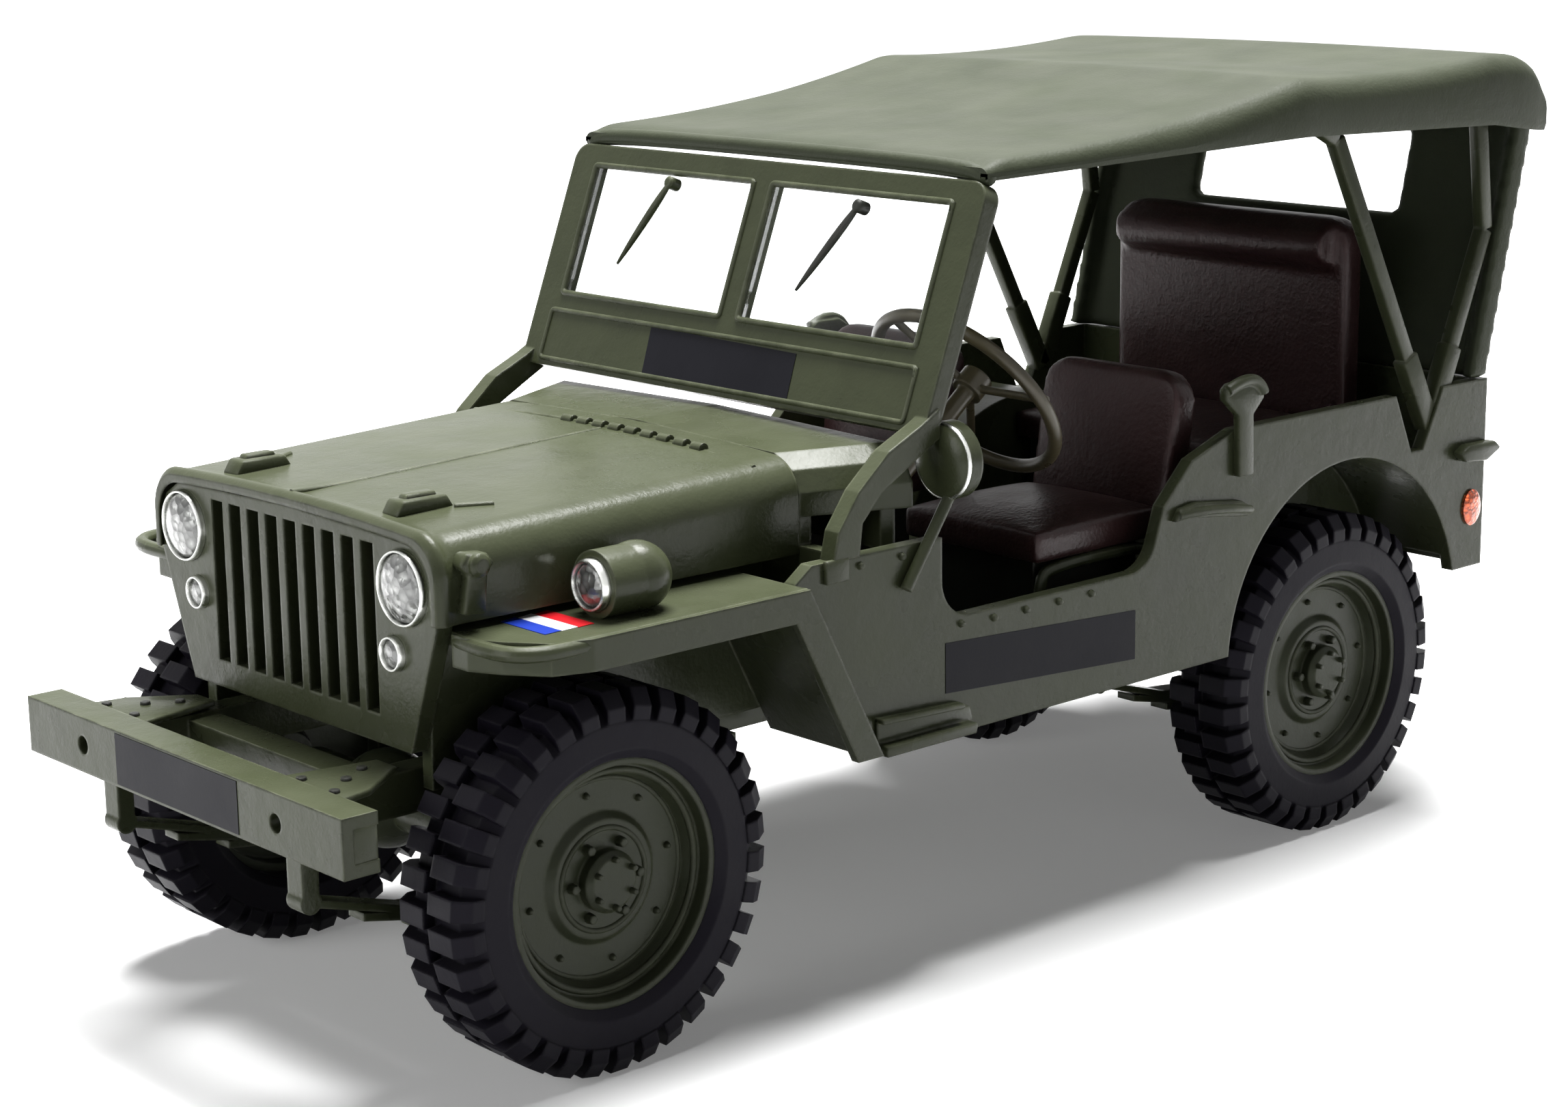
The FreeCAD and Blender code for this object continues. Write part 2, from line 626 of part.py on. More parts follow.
def make_fender():
    """Left front fender: bent sheet with a turned-down rim, and the engine's side wall."""
    sheet_and_lip = common("fender_blank", fender_profile("fender_full", "0", "fender_sheet + fender_lip"),
                           fender_planform("fender_plan", "0"))
    hollow = common("fender_hollow", fender_profile("fender_under", "fender_sheet", "fender_sheet + fender_lip + 1"),
                    fender_planform("fender_inner_plan", "0.45"))
    shell = cut("fender_shell", sheet_and_lip, hollow)
    apron = box("fender_apron", ("hood_back_x", "grille_back_x - 0.2"),
                ("apron_spread / 2 - body_sheet", "apron_spread / 2"), ("sill_height + 1.4", "fender_top"))
    return fuse("fender_left", shell, apron)


def make_bumper():
    """Front bumper: a channel open to the rear, drilled through its web."""
    bumper = body("front_bumper")
    section = outline(bumper, "XZ_Plane", "bumper_section", (
        ("bumper_face", "bumper_low"),
        ("bumper_face", "bumper_high"),
        ("bumper_face - bumper_depth", "bumper_high"),
        ("bumper_face - bumper_depth", "bumper_high - bumper_sheet"),
        ("bumper_face - bumper_sheet", "bumper_high - bumper_sheet"),
        ("bumper_face - bumper_sheet", "bumper_low + bumper_sheet"),
        ("bumper_face - bumper_depth", "bumper_low + bumper_sheet"),
        ("bumper_face - bumper_depth", "bumper_low"),
    ))
    extrude(bumper, "Pad", "bumper_channel", section, "bumper_length", both=True)
    middle = "(bumper_low + bumper_high) / 2"
    holes = ring(bumper, "YZ_Plane", "bumper_holes", [
        (f"{sign}bumper_bolt_spread / 2", middle, "bumper_bolt_radius") for sign in ("-", "")
    ], offset="bumper_face")
    extrude(bumper, "Pocket", "bumper_drilling", holes, "2 * bumper_sheet")
    return bumper


def make_frame():
    """Chassis frame: two rails with cross-members."""
    rails = [
        box(f"frame_rail_{side}", ("tail + body_sheet", "bumper_face - bumper_depth"),
            (f"{sign}rail_half - rail_width / 2", f"{sign}rail_half + rail_width / 2"),
            ("rail_low", "rail_low + rail_height"))
        for side, sign in (("left", ""), ("right", "-"))
    ]
    horns = [
        box(f"frame_horn_{side}", ("bumper_face - bumper_depth", "bumper_face - bumper_sheet"),
            (f"{sign}rail_half - rail_width / 2", f"{sign}rail_half + rail_width / 2"),
            ("bumper_low + bumper_sheet", "bumper_high - bumper_sheet"))
        for side, sign in (("left", ""), ("right", "-"))
    ]
    members = [
        box(f"cross_member_{i}", (f"{middle} - 0.8", f"{middle} + 0.8"), ("-rail_half", "rail_half"),
            ("rail_low + 0.2", "rail_low + rail_height - 0.2"))
        for i, middle in enumerate((
            "front_axle + 7.4", "front_axle - 11", "rear_axle + 16", "rear_axle + 2", "tail + 2.5",
        ))
    ]
    return fuse("chassis_frame", *rails, *horns, *members)


def make_axle_housing(name, axle):
    """Axle tube with its differential case, bored for the pin."""
    half = "track / 2 - tyre_width / 2 - 0.5"
    tube = rod(name + "_tube", "y", "housing_radius", f"2 * ({half})", axle, f"-({half})", "wheel_radius")
    case = DOC.addObject("Part::Sphere", name + "_case")
    case.setExpression("Radius", bind("diff_radius"))
    place(case, axle, "-diff_offset", "wheel_radius")
    seats = [
        box(f"{name}_seat_{side}", (f"{axle} - 1.0", f"{axle} + 1.0"),
            (f"{sign}spring_spread / 2 - spring_width / 2", f"{sign}spring_spread / 2 + spring_width / 2"),
            ("spring_seat", "wheel_radius"))
        for side, sign in (("left", ""), ("right", "-"))
    ]
    bore = rod(name + "_bore", "y", "pin_radius + pin_clearance", "track", axle, "-track / 2", "wheel_radius")
    return cut(name, fuse(name + "_blank", tube, case, *seats), bore)


def make_spring(name, axle, front_mount):
    """Left leaf spring: stacked leaves on a common curve, with eyes and shackles up to their mounts."""
    parts = []
    flat = 0.15
    for i, share in enumerate((1.0, 0.78, 0.55, 0.33)):
        leaf = body(f"{name}_leaf_{i}")
        upper, lower = [], []
        middle = (share + flat) / 2
        for step in (-share, -middle, -flat, flat, middle, share):
            climb = ((abs(step) - flat) / (1 - flat)) ** 2
            along = f"{axle} + {step} * spring_reach"
            height = f"spring_seat + {climb} * spring_rise - {i} * leaf_sheet"
            upper.append((along, height))
            lower.append((along, f"{height} - leaf_sheet"))
        shape = outline(leaf, "XZ_Plane", f"{name}_leaf_{i}_outline", upper + lower[::-1],
                        offset="spring_width / 2 - spring_spread / 2")
        extrude(leaf, "Pad", f"{name}_leaf_{i}_pad", shape, "spring_width", back=True)
        parts.append(leaf)
    for end, sign, mount in (("front", "+", front_mount), ("rear", "-", "rail_low")):
        x = f"{axle} {sign} spring_reach"
        low = "spring_seat + spring_rise - leaf_sheet"
        parts.append(rod(f"{name}_eye_{end}", "y", "0.5", "spring_width", x,
                         "spring_spread / 2 - spring_width / 2", low + " + 0.2"))
        parts.append(box(f"{name}_shackle_{end}", (f"{x} - 0.4", f"{x} + 0.4"),
                         ("spring_spread / 2 - spring_width / 2", "spring_spread / 2 + spring_width / 2"),
                         (low, mount)))
    return fuse(name, *parts)


def make_tyre(name):
    """Left tyre about its own middle: revolved carcass with two rows of blocks."""
    tyre = body(name)
    base = "(wheel_radius - lug_depth)"
    inner = "tyre_middle - tyre_width / 2"
    carcass = outline(tyre, "XY_Plane", name + "_section", (
        ("rim_radius", f"{inner} + rim_inset"),
        ("rim_radius", "rim_face"),
        ("rim_radius + 0.45", "tyre_face"),
        (f"{base} - 0.75", "tyre_face - 0.05"),
        (base, "tyre_face - 0.75"),
        (base, f"{inner} + 0.75"),
        (f"{base} - 0.75", f"{inner} + 0.05"),
        ("rim_radius + 0.45", inner),
    ))
    spin(tyre, "Revolution", name + "_carcass", carcass, "V_Axis")
    rows = []
    for row_name, sign, turn in (("outer", "+", 0), ("inner", "-", 0.5)):
        edge = f"tyre_middle {sign} tyre_width / 2"
        back = "-" if sign == "+" else "+"
        block = outline(tyre, "YZ_Plane", f"{name}_{row_name}_block", (
            (f"tyre_middle {sign} 0.15", f"{base} - 0.3"),
            (f"tyre_middle {sign} 0.15", "wheel_radius"),
            (f"{edge} {back} 0.5", "wheel_radius"),
            (edge, f"{base} - 0.1"),
            (edge, f"{base} - 0.7"),
            (f"{edge} {back} 1.2", f"{base} - 0.7"),
        ))
        block.AttachmentOffset = FreeCAD.Placement(V(0, 0, 0), FreeCAD.Rotation(V(1, 0, 0), 0.001))
        block.setExpression("AttachmentOffset.Rotation.Angle", bind(f"{turn} * 360 deg / lug_count"))
        pad = extrude(tyre, "Pad", f"{name}_{row_name}_lug", block, "lug_length", both=True)
        pattern = tyre.newObject("PartDesign::PolarPattern", f"{name}_{row_name}_lugs")
        pattern.Originals = [pad]
        pattern.Axis = (plane_of(tyre, "Y_Axis"), [""])
        pattern.Angle = 360
        pattern.setExpression("Occurrences", bind("lug_count"))
        tyre.Tip = pattern
        rows.append(pattern)
    return tyre


def make_rim(name):
    """Left wheel about its own middle: pressed disc with stepped rings and a hub."""
    rim = body(name)
    section = outline(rim, "XY_Plane", name + "_section", (
        ("0", "pin_end"),
        ("0", "rim_face - 0.1"),
        ("hub_radius - 0.25", "rim_face - 0.1"),
        ("hub_radius", "rim_face - 0.35"),
        ("hub_radius", "rim_face - 0.85"),
        ("rim_radius * 0.48", "rim_face - 0.85"),
        ("rim_radius * 0.54", "rim_face - 1.15"),
        ("rim_radius * 0.82", "rim_face - 1.15"),
        ("rim_radius * 0.87", "rim_face - 0.6"),
        ("rim_radius * 0.93", "rim_face - 0.6"),
        ("rim_radius * 0.95", "rim_face"),
        ("rim_radius", "rim_face"),
        ("rim_radius", "rim_face - rim_depth"),
        ("rim_radius * 0.92", "rim_face - rim_depth"),
        ("rim_radius * 0.92", "rim_face - 1.15 - disc_sheet"),
        ("hub_radius + 0.3", "rim_face - 1.15 - disc_sheet"),
        ("hub_radius", "rim_face - rim_depth + 0.1"),
        ("pin_radius", "rim_face - rim_depth + 0.1"),
        ("pin_radius", "pin_end"),
    ))
    spin(rim, "Revolution", name + "_disc", section, "V_Axis")
    return rim


def rectangle(owner, name, role, across, up, offset="0"):
    """Rectangular outline between two bounds each way."""
    return outline(owner, role, name, (
        (across[0], up[0]), (across[1], up[0]), (across[1], up[1]), (across[0], up[1]),
    ), offset=offset)


def lean(thing, x, z, angle):
    """Set a piece on its foot and lean it back."""
    place(thing, x, "0", z, (0, 1, 0), -value(angle))
    thing.setExpression("Placement.Rotation.Angle", bind(angle))
    thing.Placement.Rotation = FreeCAD.Rotation(V(0, -1, 0), value(angle))
    return thing


def make_screen_frame():
    """Windscreen frame: one flat stamping with two pane openings above its panel."""
    frame = body("screen_stamping")
    face = rectangle(frame, "screen_outline", "YZ_Plane", ("-screen_width / 2", "screen_width / 2"),
                     ("0", "screen_height"))
    pad = extrude(frame, "Pad", "screen_pad", face, "screen_sheet", both=True)
    rounded = dress(frame, "Fillet", "screen_rounding", pad, "0.9", lambda middle, edge: (
        abs(middle.x) < 0.01 and abs(abs(middle.y) - value("screen_width / 2")) < 0.01
    ))
    for side, sign in (("left", 1), ("right", -1)):
        bounds = ("pane_post / 2", "pane_spread / 2") if sign > 0 else ("-pane_spread / 2", "-pane_post / 2")
        opening = rectangle(frame, f"pane_{side}_outline", "YZ_Plane", bounds, ("pane_low", "pane_high"))
        extrude(frame, "Pocket", f"pane_{side}", opening, "3 * screen_sheet", both=True)
    lean(frame, "screen_x", "screen_foot_height", "screen_rake")
    arm = make_screen_arm()
    return fuse("windscreen_frame", frame, arm, mirror("screen_arm_right", arm))


def make_screen_arm():
    """Left arm that carries the windscreen: it curves forward and down to the body side."""
    arm = body("screen_arm_left")
    curve = outline(arm, "XZ_Plane", "arm_outline", (
        ("screen_x - 0.5", "screen_foot_height + 1.2"),
        ("screen_x + 0.6", "screen_foot_height + 0.6"),
        ("screen_x + 2.6", "screen_foot_height - 0.3"),
        ("screen_x + 4.4", "screen_foot_height - 1.8"),
        ("screen_x + 5.6", "screen_foot_height - 3.4"),
        ("screen_x + 5.9", "cowl_side_top"),
        ("screen_x + 4.4", "cowl_side_top"),
        ("screen_x + 4.2", "screen_foot_height - 3.2"),
        ("screen_x + 3.0", "screen_foot_height - 2.0"),
        ("screen_x + 1.0", "screen_foot_height - 0.9"),
        ("screen_x - 0.5", "screen_foot_height - 0.1"),
    ), offset="body_sheet - half_body")
    extrude(arm, "Pad", "arm_pad", curve, "body_sheet + 0.2", back=True)
    return arm


def make_pane(name, sign):
    """One windscreen pane, held in its opening."""
    pane = body(name)
    low, high = ("pane_post / 2", "pane_spread / 2") if sign > 0 else ("-pane_spread / 2", "-pane_post / 2")
    face = rectangle(pane, name + "_outline", "YZ_Plane",
                     (f"{low} + lens_clearance", f"{high} - lens_clearance"),
                     ("pane_low + lens_clearance", "pane_high - lens_clearance"))
    extrude(pane, "Pad", name + "_pad", face, "glass_sheet", both=True)
    return lean(pane, "screen_x", "screen_foot_height", "screen_rake")


def roof_section(owner, name, x, half, top, skirt):
    """Section of the top across the car: a thin arch with turned-down sides."""
    outer = (
        (f"-({half})", skirt),
        (f"-({half})", f"{top} - 0.75"),
        (f"-({half}) + 0.9", f"{top}"),
        (f"({half}) - 0.9", f"{top}"),
        (half, f"{top} - 0.75"),
        (half, skirt),
    )
    inner = (
        (f"({half}) - top_sheet", skirt),
        (f"({half}) - top_sheet", f"{top} - top_sheet - 0.2"),
        (f"-({half}) + top_sheet", f"{top} - top_sheet - 0.2"),
        (f"-({half}) + top_sheet", skirt),
    )
    return outline(owner, "YZ_Plane", name, outer + inner, offset=x)


def make_roof():
    """Canvas top: lofted over the windscreen and the two bows, sagging between them."""
    roof = body("canvas_roof")
    wide = "top_back_width / 2"
    sections = (
        ("roof_front", "top_front_x", "top_front_width / 2", "top_front_height", "top_front_height - 0.85"),
        ("roof_sag_front", "(top_front_x + bow_front_x) / 2", "(top_front_width + top_back_width) / 4",
         "(top_front_height + top_bow_height) / 2 - top_sag", "top_front_height - 1.1"),
        ("roof_bow_front", "bow_front_x", wide, "top_bow_height", "top_bow_height - 2.7"),
        ("roof_sag_back", "(bow_front_x + bow_back_x) / 2", wide,
         "(top_bow_height + top_back_height) / 2 - 0.6 * top_sag", "top_bow_height - 2.8"),
        ("roof_bow_back", "bow_back_x", wide, "top_back_height", "top_back_height - 3.5"),
        ("roof_rear", "curtain_x", f"{wide} - 0.3", "top_back_height - 1.5", "top_back_height - 4.2"),
    )
    loft(roof, "AdditiveLoft", "roof_skin", [
        roof_section(roof, name, x, half, top, skirt) for name, x, half, top, skirt in sections
    ])
    return roof


def curtain_section(owner, name, z, x, half):
    """Plan of the rear curtain at one height: its back and its two turned sides."""
    return outline(owner, "XY_Plane", name, (
        (f"{x} + curtain_wrap", f"-({half})"),
        (x, f"-({half})"),
        (x, half),
        (f"{x} + curtain_wrap", half),
        (f"{x} + curtain_wrap", f"{half} - top_sheet"),
        (f"{x} + top_sheet", f"{half} - top_sheet"),
        (f"{x} + top_sheet", f"-({half}) + top_sheet"),
        (f"{x} + curtain_wrap", f"-({half}) + top_sheet"),
    ), offset=z)


def make_curtain():
    """Rear curtain from the top down to the body's rail, with its window opening."""
    curtain = body("canvas_curtain")
    half = "top_back_width / 2 - 0.3 - top_sheet"
    loft(curtain, "AdditiveLoft", "curtain_skin", [
        curtain_section(curtain, "curtain_foot", "rail_top", "tail", half),
        curtain_section(curtain, "curtain_head", "top_back_height - 1.5 - top_sheet - 0.2", "curtain_x", half),
    ])
    window = rectangle(curtain, "window_outline", "YZ_Plane", ("-window_width / 2", "window_width / 2"),
                       ("window_low", "window_low + window_height"), offset="tail - 8")
    extrude(curtain, "Pocket", "window", window, "16", both=True)
    return curtain


def strut(name, radius, start, end, y):
    """Round rod between two points of one plane along the car."""
    run_x = f"(({end[0]}) - ({start[0]}))"
    run_z = f"(({end[1]}) - ({start[1]}))"
    bar = DOC.addObject("Part::Cylinder", name)
    bar.setExpression("Radius", bind(radius))
    bar.setExpression("Height", bind(f"sqrt({run_x}^2 + {run_z}^2)"))
    place(bar, start[0], y, start[1], (0, 1, 0), math.degrees(math.atan2(value(run_x), value(run_z))))
    bar.setExpression("Placement.Rotation.Angle", bind(f"atan2({run_x}; {run_z})"))
    return bar


def make_bow():
    """Left bow: two rods that spread from one pivot up to the top."""
    y = "half_body - body_sheet / 2"
    pivot = ("rear_axle - notch_reach", "rail_top - notch_depth + bow_radius + 0.1")
    front_head = ("bow_front_x - 3.7", "top_bow_height - 2.2")
    rear_head = ("curtain_x + curtain_wrap + 2 * bow_radius", "top_back_height - 3.6")
    rods = [
        strut("bow_front_leg", "bow_radius", pivot, front_head, y),
        strut("bow_rear_leg", "bow_radius", pivot, rear_head, y),
    ]
    return fuse("bow_left", *rods)


def make_seat(name, sign):
    """Front seat: cushion, back and tube frame, each a piece of its own."""
    middle = f"{sign}seat_spread / 2"
    low, high = f"{middle} - seat_width / 2", f"{middle} + seat_width / 2"
    cushion = box(f"{name}_cushion_block", ("seat_back_x", "seat_back_x + seat_depth"), (low, high),
                  ("seat_height - seat_pad", "seat_height"))
    back = body(f"{name}_back")
    face = rectangle(back, f"{name}_back_outline", "YZ_Plane", (low, high), ("0", "seat_back_height"))
    pad = extrude(back, "Pad", f"{name}_back_pad", face, "seat_pad", back=True)
    dress(back, "Fillet", f"{name}_back_rounding", pad, "1.6", lambda where, edge: (
        abs(where.z - value("seat_back_height")) < 0.01 and abs(abs(where.y - value(middle)) - value("seat_width / 2")) < 0.01
    ))
    lean(back, "seat_back_x", "seat_height - seat_pad", "seat_lean")
    base = box(f"{name}_base", ("seat_back_x + 1", "seat_back_x + seat_depth - 0.6"),
               (f"{low} + 0.8", f"{high} - 0.8"), ("tub_floor", "seat_height - seat_pad"))
    cushion.Label = f"{name}_cushion"
    return [cushion, back, base]


def make_bench():
    """Rear seat: cushion, back and base."""
    half = "bench_width / 2"
    cushion = box("bench_cushion", ("bench_back_x - seat_pad", "bench_back_x + bench_depth"), (f"-({half})", half),
                  ("bench_height - seat_pad", "bench_height"))
    back = body("bench_back")
    face = rectangle(back, "bench_back_outline", "YZ_Plane", (f"-({half})", half), ("0", "bench_top - bench_height"))
    pad = extrude(back, "Pad", "bench_back_pad", face, "seat_pad", back=True)
    dress(back, "Fillet", "bench_back_rounding", pad, "1.6", lambda where, edge: (
        abs(where.z - value("bench_top - bench_height")) < 0.01 and abs(abs(where.y) - value(half)) < 0.01
    ))
    place(back, "bench_back_x", "0", "bench_height")
    base = box("bench_base", ("bench_back_x + 0.3", "bench_back_x + bench_depth - 0.5"),
               (f"-({half}) + 0.8", f"{half} - 0.8"), ("tub_floor", "bench_height - seat_pad"))
    return [cushion, back, base]


def make_steering():
    """Steering wheel with three spokes, its hub and its column."""
    wheel = DOC.addObject("Part::Torus", "steering_rim")
    wheel.setExpression("Radius1", bind("steer_radius"))
    wheel.setExpression("Radius2", bind("steer_rim"))
    hub = DOC.addObject("Part::Cylinder", "steering_hub")
    hub.setExpression("Radius", bind("steer_rim * 2.4"))
    hub.Height = 1.0
    column = DOC.addObject("Part::Cylinder", "steering_column")
    column.setExpression("Radius", bind("steer_rim * 1.4"))
    reach = "((steer_reach - hood_back - body_sheet) / cos(steer_tilt) - 1.4 * steer_rim * tan(steer_tilt))"
    column.setExpression("Height", bind(reach))
    column.setExpression("Placement.Base.z", bind("-" + reach))
    spokes = []
    for i in range(3):
        spoke = DOC.addObject("Part::Cylinder", f"steering_spoke_{i}")
        spoke.setExpression("Radius", bind("steer_rim * 0.6"))
        spoke.setExpression("Height", bind("steer_radius"))
        turn = FreeCAD.Rotation(V(0, 0, 1), 90 + 120 * i) * FreeCAD.Rotation(V(0, 1, 0), 90)
        spoke.Placement = FreeCAD.Placement(V(0, 0, 0.3), turn)
        spokes.append(spoke)
    steering = fuse("steering_wheel", wheel, hub, column, *spokes)
    place(steering, "front_axle - steer_reach", "steer_spread", "steer_height", (0, 1, 0), value("steer_tilt") - 90)
    return steering


def make_dash():
    """Instrument panel that closes the cowl's rear end."""
    dash = body("dashboard")
    sections = [
        shoulder_section(dash, f"dash_{end}", f"cowl_back_x + {lead}",
                         f"cowl_back_width / 2 - body_sheet - {lead} * cowl_flare",
                         f"(cowl_back_top - body_sheet - {lead} * cowl_climb)",
                         "cowl_back_top - body_sheet - dash_height", "hood_round")
        for end, lead in (("rear", 0.3), ("front", 0.9))
    ]
    loft(dash, "AdditiveLoft", "dash_panel", sections)
    return dash


def make_lens(name, radius, bulge, depth, x, y, z):
    """Clear lens facing forward: a short plug with a domed face."""
    ball = DOC.addObject("Part::Sphere", name + "_dome")
    sphere = f"(({radius})^2 + {bulge}^2) / (2 * {bulge})"
    ball.setExpression("Radius", bind(sphere))
    place(ball, f"{x} + {bulge} - {sphere}", y, z)
    plug = rod(name + "_plug", "x", radius, f"{depth} + {bulge}", f"{x} - {depth}", y, z)
    return common(name, plug, ball)


def make_fender_lamp():
    """Blackout lamp on the left fender, facing forward on its foot."""
    face, y, z = "front_axle - fender_lamp_lead + 1.8", "fender_lamp_spread", "fender_top + fender_lamp_radius - 0.1"
    drum = rod("fender_lamp_drum", "x", "fender_lamp_radius * 0.95", "2.2", f"{face} - 2.2", y, z)
    ball = DOC.addObject("Part::Sphere", "fender_lamp_ball")
    ball.setExpression("Radius", bind("fender_lamp_radius"))
    place(ball, f"{face} - 2.2", y, z)
    seat = rod("fender_lamp_seat", "x", "fender_lamp_radius * 0.75", "0.4", f"{face} - 0.4", y, z)
    above = box("fender_lamp_above", ("front_axle - 9", "front_axle + 6"), ("0", "half_body + 3"),
                ("fender_top", "fender_top + 9"))
    lamp = common("fender_lamp", cut("fender_lamp_whole", fuse("fender_lamp_blank", drum, ball), seat), above)
    lens = make_lens("fender_lamp_lens", "fender_lamp_radius * 0.75 - lens_clearance", "0.25", "0.4", face, y, z)
    return [lamp, lens]


def make_mirror():
    """Round mirror outside the left of the windscreen, on its stalk from the body side."""
    y = "mirror_spread - mirror_radius"
    head = rod("mirror_head", "x", "mirror_radius", "0.7", "screen_x - 1.6", y, "screen_foot_height - 1.2")
    stalk = strut("mirror_stalk", "mirror_rod", ("front_axle - mirror_foot", "cowl_side_top - 1.9"),
                  ("screen_x - 1.25", "screen_foot_height - 2.4"), "half_body + mirror_rod")
    return fuse("mirror", head, stalk)


def make_can():
    """Fuel can on the rear panel: rounded tank, filler cap and three carrying bars."""
    can = body("fuel_can")
    face = rectangle(can, "can_outline", "YZ_Plane", ("can_offset - can_width / 2", "can_offset + can_width / 2"),
                     ("can_low", "can_low + can_height"), offset="tail - 0.6 - can_depth")
    pad = extrude(can, "Pad", "can_pad", face, "can_depth")
    dress(can, "Fillet", "can_rounding", pad, "0.9", lambda where, edge: abs(where.x - value("tail - 0.6 - can_depth / 2")) < 0.01)
    return can


def make_can_rack():
    """Plate that holds the fuel can on the rear panel."""
    return box("fuel_can_rack", ("tail - 0.6", "tail"), ("can_offset - can_width / 2 + 0.6", "can_offset + can_width / 2 - 0.6"),
               ("can_low - 0.6", "can_low + 0.6 * can_height"))


def make_carrier():
    """Stub on the rear panel that the spare wheel is bolted to."""
    depth = "(spare_back_x + rim_inset + rim_depth - 0.1)"
    return rod("spare_carrier", "x", "hub_radius + 0.8", f"tail - {depth}", depth, "-spare_offset", "spare_height")


def pair(name, make, *arguments):
    """Left piece and its mirror copy on the right."""
    left = make(*arguments)
    left.Label = name + "_left"
    right = mirror(name + "_right", left)
    return [left, right]


def wheel_place(thing, axle):
    """Move a wheel piece from its own middle onto its axle."""
    return place(thing, axle, "0", "wheel_radius")


def make_wheels(end, axle):
    """Pin, two rims and two tyres of one axle."""
    pin = rod(f"{end}_axle_pin", "y", "pin_radius", "2 * pin_end", axle, "-pin_end", "wheel_radius")
    pieces = [pin]
    for kind, make in (("rim", make_rim), ("tyre", make_tyre)):
        left = wheel_place(make(f"{end}_{kind}_left"), axle)
        pieces += [left, mirror(f"{end}_{kind}_right", left)]
    return pieces


def make_spare():
    """Spare wheel flat against the rear panel, right of the middle."""
    pieces = []
    for kind, make in (("rim", make_rim), ("tyre", make_tyre)):
        piece = make(f"spare_{kind}")
        place(piece, "spare_back_x + tyre_face", "-spare_offset", "spare_height", (0, 0, 1), 90)
        pieces.append(piece)
    return pieces


def build():
    """Make every sub-part and return those that are nodes."""
    nodes = [make_tub(), make_hood(), make_grille(), make_radiator(), make_bumper(), make_frame()]
    nodes += pair("fender", make_fender)
    for end, axle, mount in (("front", "front_axle", "bumper_low"), ("rear", "rear_axle", "rail_low")):
        nodes.append(make_axle_housing(f"{end}_axle_housing", axle))
        nodes += pair(f"{end}_spring", make_spring, f"{end}_spring_left", axle, mount)
        nodes += make_wheels(end, axle)
    nodes += [make_screen_frame(), make_pane("windscreen_pane_left", 1), make_pane("windscreen_pane_right", -1)]
    nodes += [make_roof(), make_curtain()] + pair("bow", make_bow)
    nodes += make_seat("driver_seat", "") + make_seat("passenger_seat", "-") + make_bench()
    nodes += [make_steering(), make_dash(), make_mirror(), make_can(), make_can_rack(), make_carrier()] + make_fender_lamp() + make_spare()
    for name, radius, spread, height in (
        ("headlamp", "lamp_radius", "lamp_spread / 2", "lamp_height"),
        ("marker_lamp", "marker_radius", "marker_spread / 2", "marker_height"),
    ):
        nodes += pair(name, make_lens, name + "_left", radius, "0.3", "0.5", "hood_front_x - 0.3", spread, height)
    return nodes


def check_and_write(nodes):
    """Stop at anything that failed, then write each node's solid."""
    DOC.recompute()
    for thing in DOC.Objects:
        if "Invalid" in thing.State or "Error" in thing.State:
            raise RuntimeError(f"{thing.Label} is {thing.State}")
    os.makedirs("parts", exist_ok=True)
    for node in nodes:
        if node.Shape.isNull() or not node.Shape.isValid():
            raise RuntimeError(f"{node.Label} has no valid shape")
        print(f"{node.Label:26s} {len(node.Shape.Solids)} solid(s) {node.Shape.Volume:10.2f} mm3")
        node.Shape.exportStep(f"parts/{node.Label}.step")


check_and_write(build())
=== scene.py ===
"""Looks of a small die-cast army car with its canvas top up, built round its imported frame."""
import json
import math

import bmesh
import bpy
from mathutils import Matrix, Vector
from mathutils.bvhtree import BVHTree


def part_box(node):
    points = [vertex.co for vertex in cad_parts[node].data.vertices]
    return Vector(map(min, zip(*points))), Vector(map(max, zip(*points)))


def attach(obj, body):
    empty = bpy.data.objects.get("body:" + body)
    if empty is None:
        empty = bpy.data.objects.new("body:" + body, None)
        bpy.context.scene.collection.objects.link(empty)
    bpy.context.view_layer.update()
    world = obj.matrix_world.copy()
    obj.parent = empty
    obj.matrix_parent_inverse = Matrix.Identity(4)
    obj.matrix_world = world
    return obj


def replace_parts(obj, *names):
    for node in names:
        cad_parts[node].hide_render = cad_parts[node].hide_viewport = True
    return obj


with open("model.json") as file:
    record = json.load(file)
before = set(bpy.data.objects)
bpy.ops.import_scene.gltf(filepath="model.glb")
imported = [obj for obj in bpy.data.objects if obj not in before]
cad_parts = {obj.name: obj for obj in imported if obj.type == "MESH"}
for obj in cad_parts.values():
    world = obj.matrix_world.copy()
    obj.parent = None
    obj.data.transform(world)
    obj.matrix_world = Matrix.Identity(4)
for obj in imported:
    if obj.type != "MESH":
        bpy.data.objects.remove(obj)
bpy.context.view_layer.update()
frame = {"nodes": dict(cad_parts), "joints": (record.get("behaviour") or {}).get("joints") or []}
NODES = frame["nodes"]
MM = 0.001
AXLES = {joint["child"]: joint["pos_m"][0] / MM for joint in frame["joints"]}
FRONT, REAR = AXLES["front_wheels"], AXLES["rear_wheels"]


